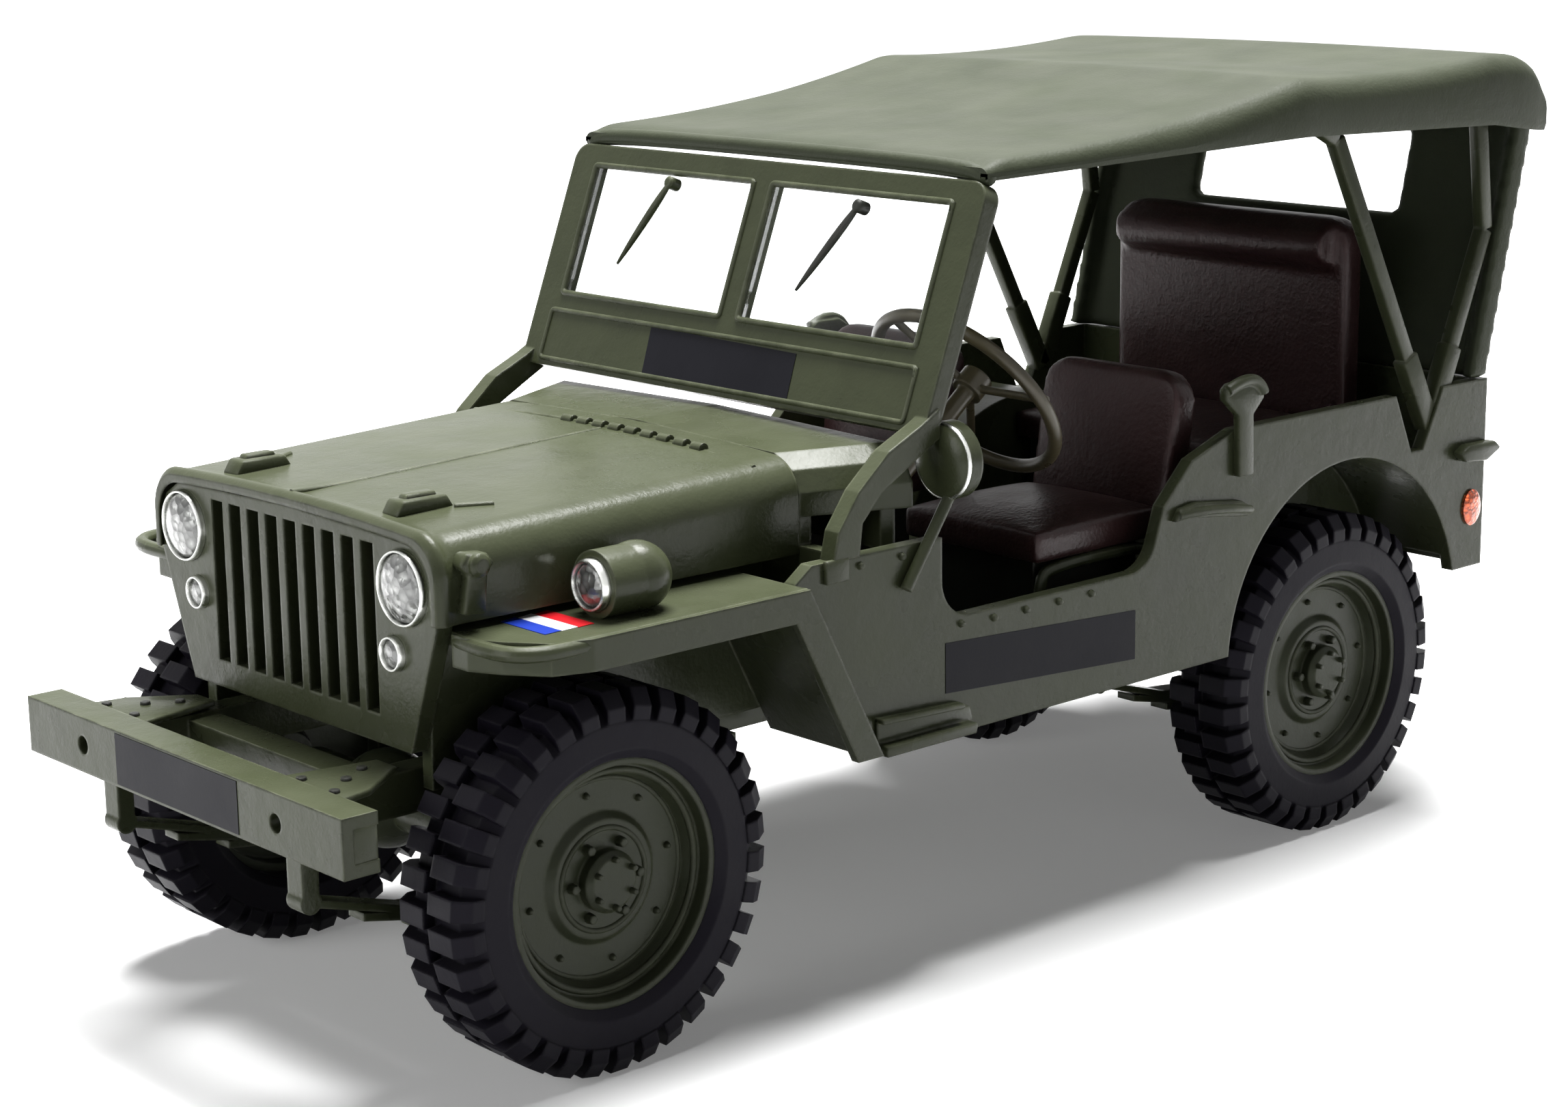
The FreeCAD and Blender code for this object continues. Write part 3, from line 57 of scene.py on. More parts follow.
# ---------------------------------------------------------------- camera, floor and light
def point_camera(place, azimuth, elevation, roll, lens):
    """Camera at a place, looking back along an azimuth and elevation about the origin."""
    back = Vector((math.cos(azimuth) * math.cos(elevation),
                   math.sin(azimuth) * math.cos(elevation), math.sin(elevation)))
    right = (-back).cross(Vector((0, 0, 1))).normalized()
    up = right.cross(-back)
    across = math.cos(roll) * right + math.sin(roll) * up
    upward = -math.sin(roll) * right + math.cos(roll) * up
    turn = Matrix((across, upward, back)).transposed().to_4x4()
    data = bpy.data.cameras.new("camera")
    data.lens = lens
    data.sensor_width = 36
    data.sensor_fit = "HORIZONTAL"
    data.clip_start = 0.001
    data.clip_end = 20
    camera = bpy.data.objects.new("camera", data)
    camera.matrix_world = Matrix.Translation(place) @ turn
    bpy.context.scene.collection.objects.link(camera)
    bpy.context.scene.camera = camera


def area_light(name, place, size, power):
    """Soft square lamp at a place, turned to shine at the middle of the car."""
    data = bpy.data.lights.new(name, "AREA")
    data.shape = "SQUARE"
    data.size = size
    data.energy = power
    light = bpy.data.objects.new(name, data)
    aim = Vector(place) - Vector((0, 0, 0.02))
    light.matrix_world = Matrix.Translation(place) @ aim.to_track_quat("Z", "Y").to_matrix().to_4x4()
    bpy.context.scene.collection.objects.link(light)


def add(tree, kind, inputs=(), **settings):
    """Shader node with its settings; an input is given as a value or as the socket to link."""
    made = tree.nodes.new(kind)
    for key, value in settings.items():
        setattr(made, key, value)
    for key, value in dict(inputs).items():
        if isinstance(value, bpy.types.NodeSocket):
            tree.links.new(value, made.inputs[key])
        else:
            made.inputs[key].default_value = value
    return made


def maths(tree, operation, *values):
    """Output of a Math node on values or sockets."""
    return add(tree, "ShaderNodeMath", enumerate(values), operation=operation).outputs[0]


def new_material(name):
    """Plain material, its node tree, its shader, and the place on the piece as a socket."""
    material = bpy.data.materials.new(name)
    material.use_nodes = True
    tree = material.node_tree
    shader = tree.nodes["Principled BSDF"]
    position = tree.nodes.new("ShaderNodeTexCoord").outputs["Object"]
    return material, tree, shader, position


def seen_rays(tree):
    """Socket that is 1 for camera, glossy and transmission rays."""
    path = tree.nodes.new("ShaderNodeLightPath")
    seen = maths(tree, "MAXIMUM", path.outputs["Is Camera Ray"], path.outputs["Is Glossy Ray"])
    return maths(tree, "MAXIMUM", seen, path.outputs["Is Transmission Ray"])


def white_world(ambient):
    """World that shows white and lights the object softly."""
    world = bpy.data.worlds.new("studio")
    bpy.context.scene.world = world
    world.use_nodes = True
    tree = world.node_tree
    strength = add(tree, "ShaderNodeMapRange", {"Value": seen_rays(tree), "To Min": ambient, "To Max": 1.0})
    back = tree.nodes["Background"]
    back.inputs["Color"].default_value = (1, 1, 1, 1)
    tree.links.new(strength.outputs[0], back.inputs["Strength"])


def white_floor(glow):
    """Plain floor that shows white and keeps the object's shadow, and glows white away from it."""
    reach = 3.0
    cast, shown = 0.20, 0.92
    shadow_ends, white_starts = 0.045, 0.11
    mesh = bpy.data.meshes.new("floor")
    mesh.from_pydata([(-reach, -reach, 0), (reach, -reach, 0), (reach, reach, 0), (-reach, reach, 0)],
                     [], [(0, 1, 2, 3)])
    floor = bpy.data.objects.new("floor", mesh)
    bpy.context.scene.collection.objects.link(floor)
    material, tree, shader, position = new_material("floor_white")
    seen = seen_rays(tree)
    pale = add(tree, "ShaderNodeMapRange", {"Value": seen, "To Min": cast, "To Max": shown})
    tree.links.new(pale.outputs[0], shader.inputs["Base Color"])
    shader.inputs["Roughness"].default_value = 0.9
    shader.inputs["Specular IOR Level"].default_value = 0.0
    shader.inputs["Emission Color"].default_value = (1, 1, 1, 1)
    away = add(tree, "ShaderNodeVectorMath", {0: position}, operation="LENGTH")
    fade = add(tree, "ShaderNodeMapRange", {
        "Value": away.outputs["Value"], "From Min": shadow_ends, "From Max": white_starts,
        "To Min": glow, "To Max": 1.0})
    tree.links.new(maths(tree, "MULTIPLY", seen, fade.outputs[0]), shader.inputs["Emission Strength"])
    mesh.materials.append(material)


point_camera(place=(0.10018, 0.10753, 0.04987), azimuth=0.842123, elevation=0.226491, roll=-0.013677,
             lens=69.6)
bpy.context.scene.view_settings.view_transform = "Standard"
white_world(ambient=0.035)
white_floor(glow=0.16)
area_light("top_softbox", (-0.085, -0.055, 0.42), size=0.22, power=6.2)
area_light("front_softbox", (0.42, -0.06, 0.16), size=0.22, power=0.75)
area_light("side_fill", (0.06, 0.45, 0.16), size=0.30, power=0.08)


# ---------------------------------------------------------------- effects that materials share
def new_group(name, inputs, outputs):
    """Shader node group with named inputs (kind, value) and outputs; returns its tree and two ends."""
    tree = bpy.data.node_groups.new(name, "ShaderNodeTree")
    for label, kind, value in inputs:
        socket = tree.interface.new_socket(label, in_out="INPUT", socket_type="NodeSocket" + kind)
        socket.default_value = value
    for label, kind in outputs:
        tree.interface.new_socket(label, in_out="OUTPUT", socket_type="NodeSocket" + kind)
    return tree, tree.nodes.new("NodeGroupInput"), tree.nodes.new("NodeGroupOutput")


def place_group(tree, group, **inputs):
    """The group in a material, with its inputs given as values or sockets (spaces as underscores)."""
    made = tree.nodes.new("ShaderNodeGroup")
    made.node_tree = group
    for key, value in inputs.items():
        socket = made.inputs[key.replace("_", " ")]
        if isinstance(value, bpy.types.NodeSocket):
            tree.links.new(value, socket)
        else:
            socket.default_value = value
    return made


def tone_drift():
    """Slow cloudy drift of a colour, as in hand-sprayed paint or moulded plastic."""
    tree, start, end = new_group(
        "tone_drift",
        (("Position", "Vector", (0, 0, 0)), ("Colour", "Color", (0.1, 0.1, 0.1, 1)),
         ("Scale", "Float", 300.0), ("Amount", "Float", 0.1)),
        (("Colour", "Color"), ("Cloud", "Float")))
    cloud = add(tree, "ShaderNodeTexNoise", {
        "Vector": start.outputs["Position"], "Scale": start.outputs["Scale"],
        "Detail": 4.0, "Roughness": 0.6})
    spread = maths(tree, "SUBTRACT", cloud.outputs[0], 0.5)
    shift = maths(tree, "MULTIPLY", spread, maths(tree, "MULTIPLY", start.outputs["Amount"], 4.0))
    gain = maths(tree, "ADD", shift, 1.0)
    lit = add(tree, "ShaderNodeVectorMath", {0: start.outputs["Colour"], "Scale": gain}, operation="SCALE")
    tree.links.new(lit.outputs[0], end.inputs["Colour"])
    tree.links.new(cloud.outputs[0], end.inputs["Cloud"])
    return tree


def rounded_edges_with_highlight():
    """Rounded-over normals at every edge, and a mask of those edges broken up by noise, for a lighter edge
    colour that is partly wear and partly a painted highlight.
    """
    tree, start, end = new_group(
        "rounded_edges_with_highlight",
        (("Position", "Vector", (0, 0, 0)), ("Wear", "Float", 0.5)),
        (("Normal", "Vector"), ("Wear_and_highlight", "Float")))
    rounded = add(tree, "ShaderNodeBevel", {"Radius": 0.18 * MM}, samples=4)
    flat = tree.nodes.new("ShaderNodeNewGeometry")
    match = add(tree, "ShaderNodeVectorMath", {0: rounded.outputs[0], 1: flat.outputs["True Normal"]},
                operation="DOT_PRODUCT")
    edge = add(tree, "ShaderNodeMapRange", {
        "Value": match.outputs["Value"], "From Min": 0.99, "From Max": 0.86})
    # Noise breaks the edge mask into patches; the mask lightens edges, partly as wear and partly as a painted
    # highlight.
    edge_breakup = add(tree, "ShaderNodeTexNoise", {
        "Vector": start.outputs["Position"], "Scale": 900.0, "Detail": 3.0})
    broken = add(tree, "ShaderNodeMapRange", {"Value": edge_breakup.outputs[0], "From Min": 0.35, "From Max": 0.7})
    edge_wear_and_highlight = maths(tree, "MULTIPLY", edge.outputs[0], broken.outputs[0])
    tree.links.new(rounded.outputs[0], end.inputs["Normal"])
    tree.links.new(maths(tree, "MULTIPLY", edge_wear_and_highlight, start.outputs["Wear"]), end.inputs["Wear_and_highlight"])
    return tree


def fine_grain():
    """Height of a fine skin: broad ripples of thick paint and a tight grain over them."""
    tree, start, end = new_group(
        "fine_grain",
        (("Position", "Vector", (0, 0, 0)), ("Ripple", "Float", 900.0), ("Grain", "Float", 6000.0),
         ("Share", "Float", 0.3)),
        (("Height", "Float"),))
    ripple, grain = (
        add(tree, "ShaderNodeTexNoise", {
            "Vector": start.outputs["Position"], "Scale": start.outputs[scale], "Detail": 2.0})
        for scale in ("Ripple", "Grain"))
    fine = maths(tree, "MULTIPLY", grain.outputs[0], start.outputs["Share"])
    tree.links.new(maths(tree, "ADD", ripple.outputs[0], fine), end.inputs["Height"])
    return tree


def dust_film():
    """Mask of thin pale dust that lies on what faces up."""
    tree, start, end = new_group(
        "dust_film",
        (("Position", "Vector", (0, 0, 0)), ("Amount", "Float", 0.1)),
        (("Dust", "Float"),))
    facing = tree.nodes.new("ShaderNodeNewGeometry")
    up = add(tree, "ShaderNodeSeparateXYZ", {0: facing.outputs["Normal"]})
    level = add(tree, "ShaderNodeMapRange", {"Value": up.outputs["Z"], "From Min": 0.3, "From Max": 1.0})
    drift = add(tree, "ShaderNodeTexNoise", {
        "Vector": start.outputs["Position"], "Scale": 260.0, "Detail": 5.0})
    patchy = add(tree, "ShaderNodeMapRange", {"Value": drift.outputs[0], "From Min": 0.3, "From Max": 0.75})
    film = maths(tree, "MULTIPLY", level.outputs[0], patchy.outputs[0])
    tree.links.new(maths(tree, "MULTIPLY", film, start.outputs["Amount"]), end.inputs["Dust"])
    return tree


TONE, EDGES, GRAIN, DUST = tone_drift(), rounded_edges_with_highlight(), fine_grain(), dust_film()


# ---------------------------------------------------------------- materials
DUST_COLOUR = (0.42, 0.41, 0.36, 1)


def mixed(tree, factor, one, two):
    """Colour between two colours, each a value or a socket."""
    mix = tree.nodes.new("ShaderNodeMix")
    mix.data_type = "RGBA"
    colours = [socket for socket in mix.inputs if socket.type == "RGBA"]
    for socket, colour in zip(colours, (one, two)):
        if isinstance(colour, bpy.types.NodeSocket):
            tree.links.new(colour, socket)
        else:
            socket.default_value = colour
    tree.links.new(factor, mix.inputs[0])
    return next(socket for socket in mix.outputs if socket.type == "RGBA")


def skin(name, colour, rough, edge_wear_and_highlight=(0.3, 0.32, 0.22), wear_and_highlight_amount=0.0, drift=0.08, dust=0.0, bump=0.02,
         ripple=900.0, grain=6000.0, share=0.3, specular=0.35, metallic=0.0, edges=True):
    """Finish with a drifting tone, lighter edges that are partly wear and partly a painted highlight, a film
    of dust and a fine skin.
    """
    material, tree, shader, position = new_material(name)
    tone = place_group(tree, TONE, Position=position, Colour=(*colour, 1), Scale=240.0, Amount=drift)
    paint = tone.outputs["Colour"]
    normal = None
    if edges:
        edge = place_group(tree, EDGES, Position=position, Wear=wear_and_highlight_amount)
        normal = edge.outputs["Normal"]
        # Painted highlight along the edges, broken up like wear: the edges take a lighter colour.
        paint = mixed(tree, edge.outputs["Wear_and_highlight"], paint, (*edge_wear_and_highlight, 1))
    if dust:
        film = place_group(tree, DUST, Position=position, Amount=dust)
        paint = mixed(tree, film.outputs["Dust"], paint, DUST_COLOUR)
    tree.links.new(paint, shader.inputs["Base Color"])
    roughness = add(tree, "ShaderNodeMapRange", {
        "Value": tone.outputs["Cloud"], "From Min": 0.3, "From Max": 0.7,
        "To Min": rough - 0.05, "To Max": rough + 0.06})
    tree.links.new(roughness.outputs[0], shader.inputs["Roughness"])
    height = place_group(tree, GRAIN, Position=position, Ripple=ripple, Grain=grain, Share=share)
    relief = {"Height": height.outputs["Height"], "Distance": bump * MM, "Strength": 1.0}
    if normal:
        relief["Normal"] = normal
    tree.links.new(add(tree, "ShaderNodeBump", relief).outputs[0], shader.inputs["Normal"])
    shader.inputs["Specular IOR Level"].default_value = specular
    shader.inputs["Metallic"].default_value = metallic
    return material


def lens_glass(name, colour, ribs, metallic=0.75):
    """Pressed lens: opaque ribbed face with a painted sparkle, brighter in the middle of each rib, standing
    in for a bright bowl behind clear plastic.
    """
    material, tree, shader, position = new_material(name)
    cells = add(tree, "ShaderNodeTexVoronoi", {"Vector": position, "Scale": ribs})
    # Painted sparkle: the colour is brightest in the middle of each rib cell and falls off towards its edges.
    sparkle = add(tree, "ShaderNodeMapRange", {"Value": cells.outputs["Distance"], "From Max": 0.6,
                                               "To Min": 1.0, "To Max": 0.30})
    lit = add(tree, "ShaderNodeVectorMath", {0: colour, "Scale": sparkle.outputs[0]}, operation="SCALE")
    tree.links.new(lit.outputs[0], shader.inputs["Base Color"])
    relief = add(tree, "ShaderNodeBump", {"Height": cells.outputs["Distance"], "Distance": 0.12 * MM})
    tree.links.new(relief.outputs[0], shader.inputs["Normal"])
    rough = add(tree, "ShaderNodeMapRange", {
        "Value": cells.outputs["Distance"], "To Min": 0.12, "To Max": 0.3})
    tree.links.new(rough.outputs[0], shader.inputs["Roughness"])
    shader.inputs["Metallic"].default_value = metallic
    shader.inputs["Coat Weight"].default_value = 0.8
    return material


def clear_pane(name):
    """Clear moulded pane with a faint haze and slow ripples."""
    material, tree, shader, position = new_material(name)
    haze = add(tree, "ShaderNodeTexNoise", {"Vector": position, "Scale": 180.0, "Detail": 3.0})
    rough = add(tree, "ShaderNodeMapRange", {"Value": haze.outputs[0], "From Min": 0.35, "From Max": 0.75,
                                             "To Min": 0.01, "To Max": 0.06})
    tree.links.new(rough.outputs[0], shader.inputs["Roughness"])
    tint = mixed(tree, haze.outputs[0], (0.97, 0.98, 0.98, 1), (0.90, 0.92, 0.93, 1))
    tree.links.new(tint, shader.inputs["Base Color"])
    relief = add(tree, "ShaderNodeBump", {"Height": haze.outputs[0], "Distance": 0.02 * MM})
    tree.links.new(relief.outputs[0], shader.inputs["Normal"])
    shader.inputs["Transmission Weight"].default_value = 1.0
    shader.inputs["IOR"].default_value = 1.2
    return material


# Each finish's edge colour is a lighter copy of its own colour: partly wear, partly a painted highlight.
OLIVE = skin("olive_paint", (0.050, 0.058, 0.030), 0.28, wear_and_highlight_amount=0.55, dust=0.04, bump=0.03, specular=0.16)
WHEEL_OLIVE = skin("wheel_paint", (0.040, 0.046, 0.026), 0.36, wear_and_highlight_amount=0.35, dust=0.03, bump=0.03, specular=0.14)
CANVAS = skin("canvas_top", (0.040, 0.047, 0.028), 0.50, drift=0.1, dust=0.05, bump=0.025,
              ripple=1600.0, grain=7000.0, share=0.6, specular=0.12, edges=False)
SEAT = skin("seat_hide", (0.040, 0.019, 0.019), 0.36, drift=0.14, dust=0.04, bump=0.03,
            ripple=1500.0, grain=5000.0, share=0.8, specular=0.2, edges=False)
RUBBER = skin("tyre_rubber", (0.0075, 0.0065, 0.0105), 0.45, edge_wear_and_highlight=(0.03, 0.028, 0.034), wear_and_highlight_amount=0.25,
              dust=0.015, specular=0.07)
DARK_STEEL = skin("dark_steel", (0.020, 0.021, 0.017), 0.38, edge_wear_and_highlight=(0.2, 0.2, 0.18), wear_and_highlight_amount=0.4, specular=0.2)
BRIGHT = skin("bright_metal", (0.62, 0.63, 0.60), 0.22, drift=0.05, bump=0.01, metallic=1.0)
STEERING_BRONZE = skin("wheel_rim_bronze", (0.075, 0.064, 0.036), 0.30, edge_wear_and_highlight=(0.3, 0.27, 0.18), wear_and_highlight_amount=0.4)
PATCH = skin("dark_patch", (0.013, 0.013, 0.017), 0.42, drift=0.12, bump=0.01, specular=0.06, edges=False)
BLUE = skin("stripe_blue", (0.012, 0.035, 0.30), 0.35, drift=0.04, bump=0.01, specular=0.2, edges=False)
WHITE = skin("stripe_white", (0.74, 0.75, 0.76), 0.35, drift=0.02, bump=0.01, specular=0.2, edges=False)
RED = skin("stripe_red", (0.52, 0.012, 0.018), 0.35, drift=0.04, bump=0.01, specular=0.2, edges=False)
LENS = lens_glass("lamp_lens", (0.33, 0.34, 0.325), ribs=2300.0, metallic=0.4)
REFLECTOR = lens_glass("red_reflector", (0.90, 0.13, 0.02), ribs=4200.0)
PANE = clear_pane("clear_pane")


# ---------------------------------------------------------------- ways of making a piece
def piece(name, bm, material, body="body", crease=35):
    """Finished piece from a mesh: faces outward, smooth up to a crease angle, riding on a body."""
    bmesh.ops.remove_doubles(bm, verts=bm.verts, dist=1e-7)
    bmesh.ops.recalc_face_normals(bm, faces=bm.faces)
    mesh = bpy.data.meshes.new(name)
    bm.to_mesh(mesh)
    bm.free()
    mesh.polygons.foreach_set("use_smooth", [True] * len(mesh.polygons))
    mesh.set_sharp_from_angle(angle=math.radians(crease))
    mesh.materials.clear()
    mesh.materials.append(material)
    obj = bpy.data.objects.new(name, mesh)
    bpy.context.scene.collection.objects.link(obj)
    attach(obj, body)
    return obj


def box_of(node):
    """Low and high corner of a CAD node, in millimetres."""
    return [Vector(corner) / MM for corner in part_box(node)]


def gather(parts):
    """Several meshes in one."""
    whole = bmesh.new()
    for part in parts:
        mesh = bpy.data.meshes.new("scratch")
        part.to_mesh(mesh)
        part.free()
        whole.from_mesh(mesh)
        bpy.data.meshes.remove(mesh)
    return whole


def baked(data, modify=None):
    """Mesh of a curve, or of a mesh under modifiers that modify(obj) adds, as plain bmesh."""
    obj = bpy.data.objects.new("scratch", data)
    bpy.context.scene.collection.objects.link(obj)
    if modify:
        modify(obj)
    mesh = bpy.data.meshes.new_from_object(obj.evaluated_get(bpy.context.evaluated_depsgraph_get()))
    bm = bmesh.new()
    bm.from_mesh(mesh)
    bpy.data.objects.remove(obj)
    bpy.data.meshes.remove(mesh)
    return bm


def mirrored(bm):
    """The same mesh on the other side of the car."""
    other = bm.copy()
    bmesh.ops.scale(other, vec=(1, -1, 1), verts=other.verts)
    bmesh.ops.reverse_faces(other, faces=other.faces)
    return other


def on_both_sides(bm):
    """A mesh and its mirror image in one."""
    return gather([mirrored(bm), bm])


def prism(corners, low, high, round_off=0.1):
    """Plate with its outline seen from the side, between two places across the car, edges rounded."""
    bm = bmesh.new()
    face = bm.faces.new([bm.verts.new(Vector((x, low, z)) * MM) for x, z in corners])
    grown = bmesh.ops.extrude_face_region(bm, geom=[face])
    moved = [part for part in grown["geom"] if isinstance(part, bmesh.types.BMVert)]
    bmesh.ops.translate(bm, verts=moved, vec=Vector((0, high - low, 0)) * MM)
    bmesh.ops.recalc_face_normals(bm, faces=bm.faces)
    bmesh.ops.bevel(bm, geom=bm.edges, offset=round_off * MM, segments=2, profile=0.5, affect="EDGES")
    return bm


def slab(corners, low, high, round_off=0.08):
    """Plate with its outline seen from above, between two heights, edges rounded."""
    bm = prism(corners, low, high, round_off)
    swapped = Matrix(((1, 0, 0, 0), (0, 0, 1, 0), (0, 1, 0, 0), (0, 0, 0, 1)))
    bmesh.ops.transform(bm, verts=bm.verts, matrix=swapped)
    return bm


def bar(start, end, wide, low, high):
    """Flat bar between two points of the side plane, between two places across the car."""
    start, end = Vector(start), Vector(end)
    run = (end - start).normalized() * wide / 2
    off = Vector((-run.y, run.x))
    return prism([start + off, end + off, end - off, start - off], low, high, 0.12)


def turn_to(axis):
    """Turn that lays the upward direction along an axis."""
    return Vector((0, 0, 1)).rotation_difference(Vector(axis))


def lathe(profile, centre, axis, steps=40):
    """Turned shape: (along, radius) points swept about an axis through a centre."""
    bm = bmesh.new()
    turn = turn_to(axis).to_matrix()
    rings = []
    for step in range(steps):
        angle = math.tau * step / steps
        spots = [Vector((r * math.cos(angle), r * math.sin(angle), along)) for along, r in profile]
        rings.append([bm.verts.new((Vector(centre) + turn @ spot) * MM) for spot in spots])
    for step in range(steps):
        one, two = rings[step], rings[(step + 1) % steps]
        for k in range(len(profile) - 1):
            bm.faces.new((one[k], two[k], two[k + 1], one[k + 1]))
    bmesh.ops.remove_doubles(bm, verts=bm.verts, dist=1e-7)
    return bm


def tube(points, radius, shares=()):
    """Rod that bends smoothly through points, with its own share of the radius at each."""
    data = bpy.data.curves.new("scratch", "CURVE")
    data.dimensions = "3D"
    data.bevel_depth = radius * MM
    data.bevel_resolution = 3
    data.use_fill_caps = True
    spline = data.splines.new("NURBS")
    spline.points.add(len(points) - 1)
    for k, (spot, point) in enumerate(zip(spline.points, points)):
        spot.co = (*(Vector(point) * MM), 1)
        spot.radius = shares[k] if shares else 1
    spline.order_u = 3
    spline.use_endpoint_u = True
    spline.resolution_u = 6
    return baked(data)


def skin_of(*names):
    """Surface of CAD nodes, to lay things on."""
    corners, faces = [], []
    for name in names:
        mesh = NODES[name].data
        start = len(corners)
        corners += [vertex.co.copy() for vertex in mesh.vertices]
        faces += [[start + k for k in polygon.vertices] for polygon in mesh.polygons]
    return BVHTree.FromPolygons(corners, faces)


def touch(surface, point, aim, reach=30):
    """Where a line through a point first meets a surface, in millimetres."""
    aim = Vector(aim).normalized()
    hit = surface.ray_cast((Vector(point) - reach * aim) * MM, aim)[0]
    if hit is None:
        raise ValueError(f"nothing to lie on at {tuple(point)}")
    return hit / MM


def printed(surface, corners, aim, steps=8, proud=0.03):
    """Thin printed patch between four corners, laid on a surface as seen along a direction."""
    one, two, three, four = (Vector(corner) for corner in corners)
    lift = -Vector(aim).normalized() * proud
    bm = bmesh.new()
    rows = []
    for i in range(steps + 1):
        start, end = one.lerp(four, i / steps), two.lerp(three, i / steps)
        ground = [touch(surface, start.lerp(end, j / steps), aim) for j in range(steps + 1)]
        rows.append([(bm.verts.new((spot + lift) * MM), bm.verts.new((spot - lift) * MM)) for spot in ground])
    for i in range(steps):
        for j in range(steps):
            ring = (rows[i][j], rows[i][j + 1], rows[i + 1][j + 1], rows[i + 1][j])
            bm.faces.new([pair[0] for pair in ring])
            bm.faces.new([pair[1] for pair in reversed(ring)])
    edge = ([rows[0][j] for j in range(steps)] + [rows[i][steps] for i in range(steps)]
            + [rows[steps][j] for j in range(steps, 0, -1)] + [rows[i][0] for i in range(steps, 0, -1)])
    for here, there in zip(edge, edge[1:] + edge[:1]):
        bm.faces.new((here[0], here[1], there[1], there[0]))
    return bm


def double_sheet(stations, profile, thick):
    """Bent sheet through sections across the car, with its inner face and closed rims."""
    bm = bmesh.new()
    outer, inner = (
        [[bm.verts.new(Vector((x, y, z)) * MM) for y, z in profile(x, inward)] for x in stations]
        for inward in (0.0, thick))
    last = len(outer[0]) - 1
    for rows in (outer, inner):
        for one, two in zip(rows, rows[1:]):
            for k in range(last):
                bm.faces.new((one[k], one[k + 1], two[k + 1], two[k]))
    for end in (0, -1):
        for k in range(last):
            bm.faces.new((outer[end][k], outer[end][k + 1], inner[end][k + 1], inner[end][k]))
        for one in range(len(stations) - 1):
            bm.faces.new((outer[one][end], outer[one + 1][end], inner[one + 1][end], inner[one][end]))
    return bm


def stud_tree():
    """Geometry tree that stands a small tapered stud on every point."""
    tree = bpy.data.node_groups.new("studs_on_points", "GeometryNodeTree")
    for label, kind in (("Points", "Geometry"), ("Sides", "Int"), ("Radius", "Float"), ("Taper", "Float"),
                        ("Height", "Float"), ("Facing", "Rotation"), ("Finish", "Material")):
        tree.interface.new_socket(label, in_out="INPUT", socket_type="NodeSocket" + kind)
    tree.interface.new_socket("Studs", in_out="OUTPUT", socket_type="NodeSocketGeometry")
    start, end = tree.nodes.new("NodeGroupInput"), tree.nodes.new("NodeGroupOutput")
    stud = add(tree, "GeometryNodeMeshCone", {
        "Vertices": start.outputs["Sides"], "Radius Bottom": start.outputs["Radius"],
        "Radius Top": maths(tree, "MULTIPLY", start.outputs["Radius"], start.outputs["Taper"]),
        "Depth": start.outputs["Height"]})
    stand = add(tree, "GeometryNodeInstanceOnPoints", {
        "Points": start.outputs["Points"], "Instance": stud.outputs["Mesh"],
        "Rotation": start.outputs["Facing"]})
    real = add(tree, "GeometryNodeRealizeInstances", {0: stand.outputs[0]})
    finish = add(tree, "GeometryNodeSetMaterial", {
        "Geometry": real.outputs[0], "Material": start.outputs["Finish"]})
    tree.links.new(finish.outputs[0], end.inputs["Studs"])
    return tree


STUDS = stud_tree()


def studs(points, facing, sides, radius, height, material, taper=0.6):
    """Rivets, nuts or knuckles at points, all facing one way."""
    def modify(obj):
        made = obj.modifiers.new("studs", "NODES")
        made.node_group = STUDS
        values = {"Sides": sides, "Radius": radius * MM, "Taper": taper, "Height": height * MM,
                  "Facing": turn_to(facing).to_euler(), "Finish": material}
        for item in STUDS.interface.items_tree:
            if item.in_out == "INPUT" and item.name in values:
                made[item.identifier] = values[item.name]

    mesh = bpy.data.meshes.new("points")
    mesh.from_pydata([Vector(point) * MM for point in points], [], [])
    return baked(mesh, modify)


# ---------------------------------------------------------------- canvas top
# place along the car, height of the top there, half its width, lower edge, sag to the next
SUPPORTS = (
    (4.60, 36.70, 14.20, 35.75, 0.55),
    (REAR + 4.97, 39.10, 15.30, 36.30, 0.30),
    (REAR - 10.45, 39.42, 15.30, 35.85, 0.0),
    (REAR - 12.8, 39.30, 15.25, 35.50, 0.0),
    (REAR - 14.3, 38.75, 15.10, 35.30, 0.0),
    (REAR - 15.1, 37.40, 14.95, 35.25, 0.0),
)
TOP_START, TOP_END = SUPPORTS[0][0], SUPPORTS[-1][0]


def top_at(x):
    """Height, half width and lower edge of the canvas top at a place along the car."""
    for near, far in zip(SUPPORTS, SUPPORTS[1:]):
        if x >= far[0]:
            share = min(max((near[0] - x) / (near[0] - far[0]), 0), 1)
            height, half, low = (a + share * (b - a) for a, b in zip(near[1:4], far[1:4]))
            return height - near[4] * 4 * share * (1 - share), half, low
    return SUPPORTS[-1][1:4]


def smooth_top(x, window=0.5):
    """The same, with the ridges over the bows eased."""
    places = [min(max(x + window * k / 3, TOP_END), TOP_START) for k in range(-3, 4)]
    return [sum(column) / len(places) for column in zip(*map(top_at, places))]


def round_shoulder(half, height, radius, degrees):
    """Points of a section's rounded shoulder, at turns in degrees up from its side."""
    return [(half - radius + radius * math.cos(turn), height - radius + radius * math.sin(turn))
            for turn in map(math.radians, degrees)]


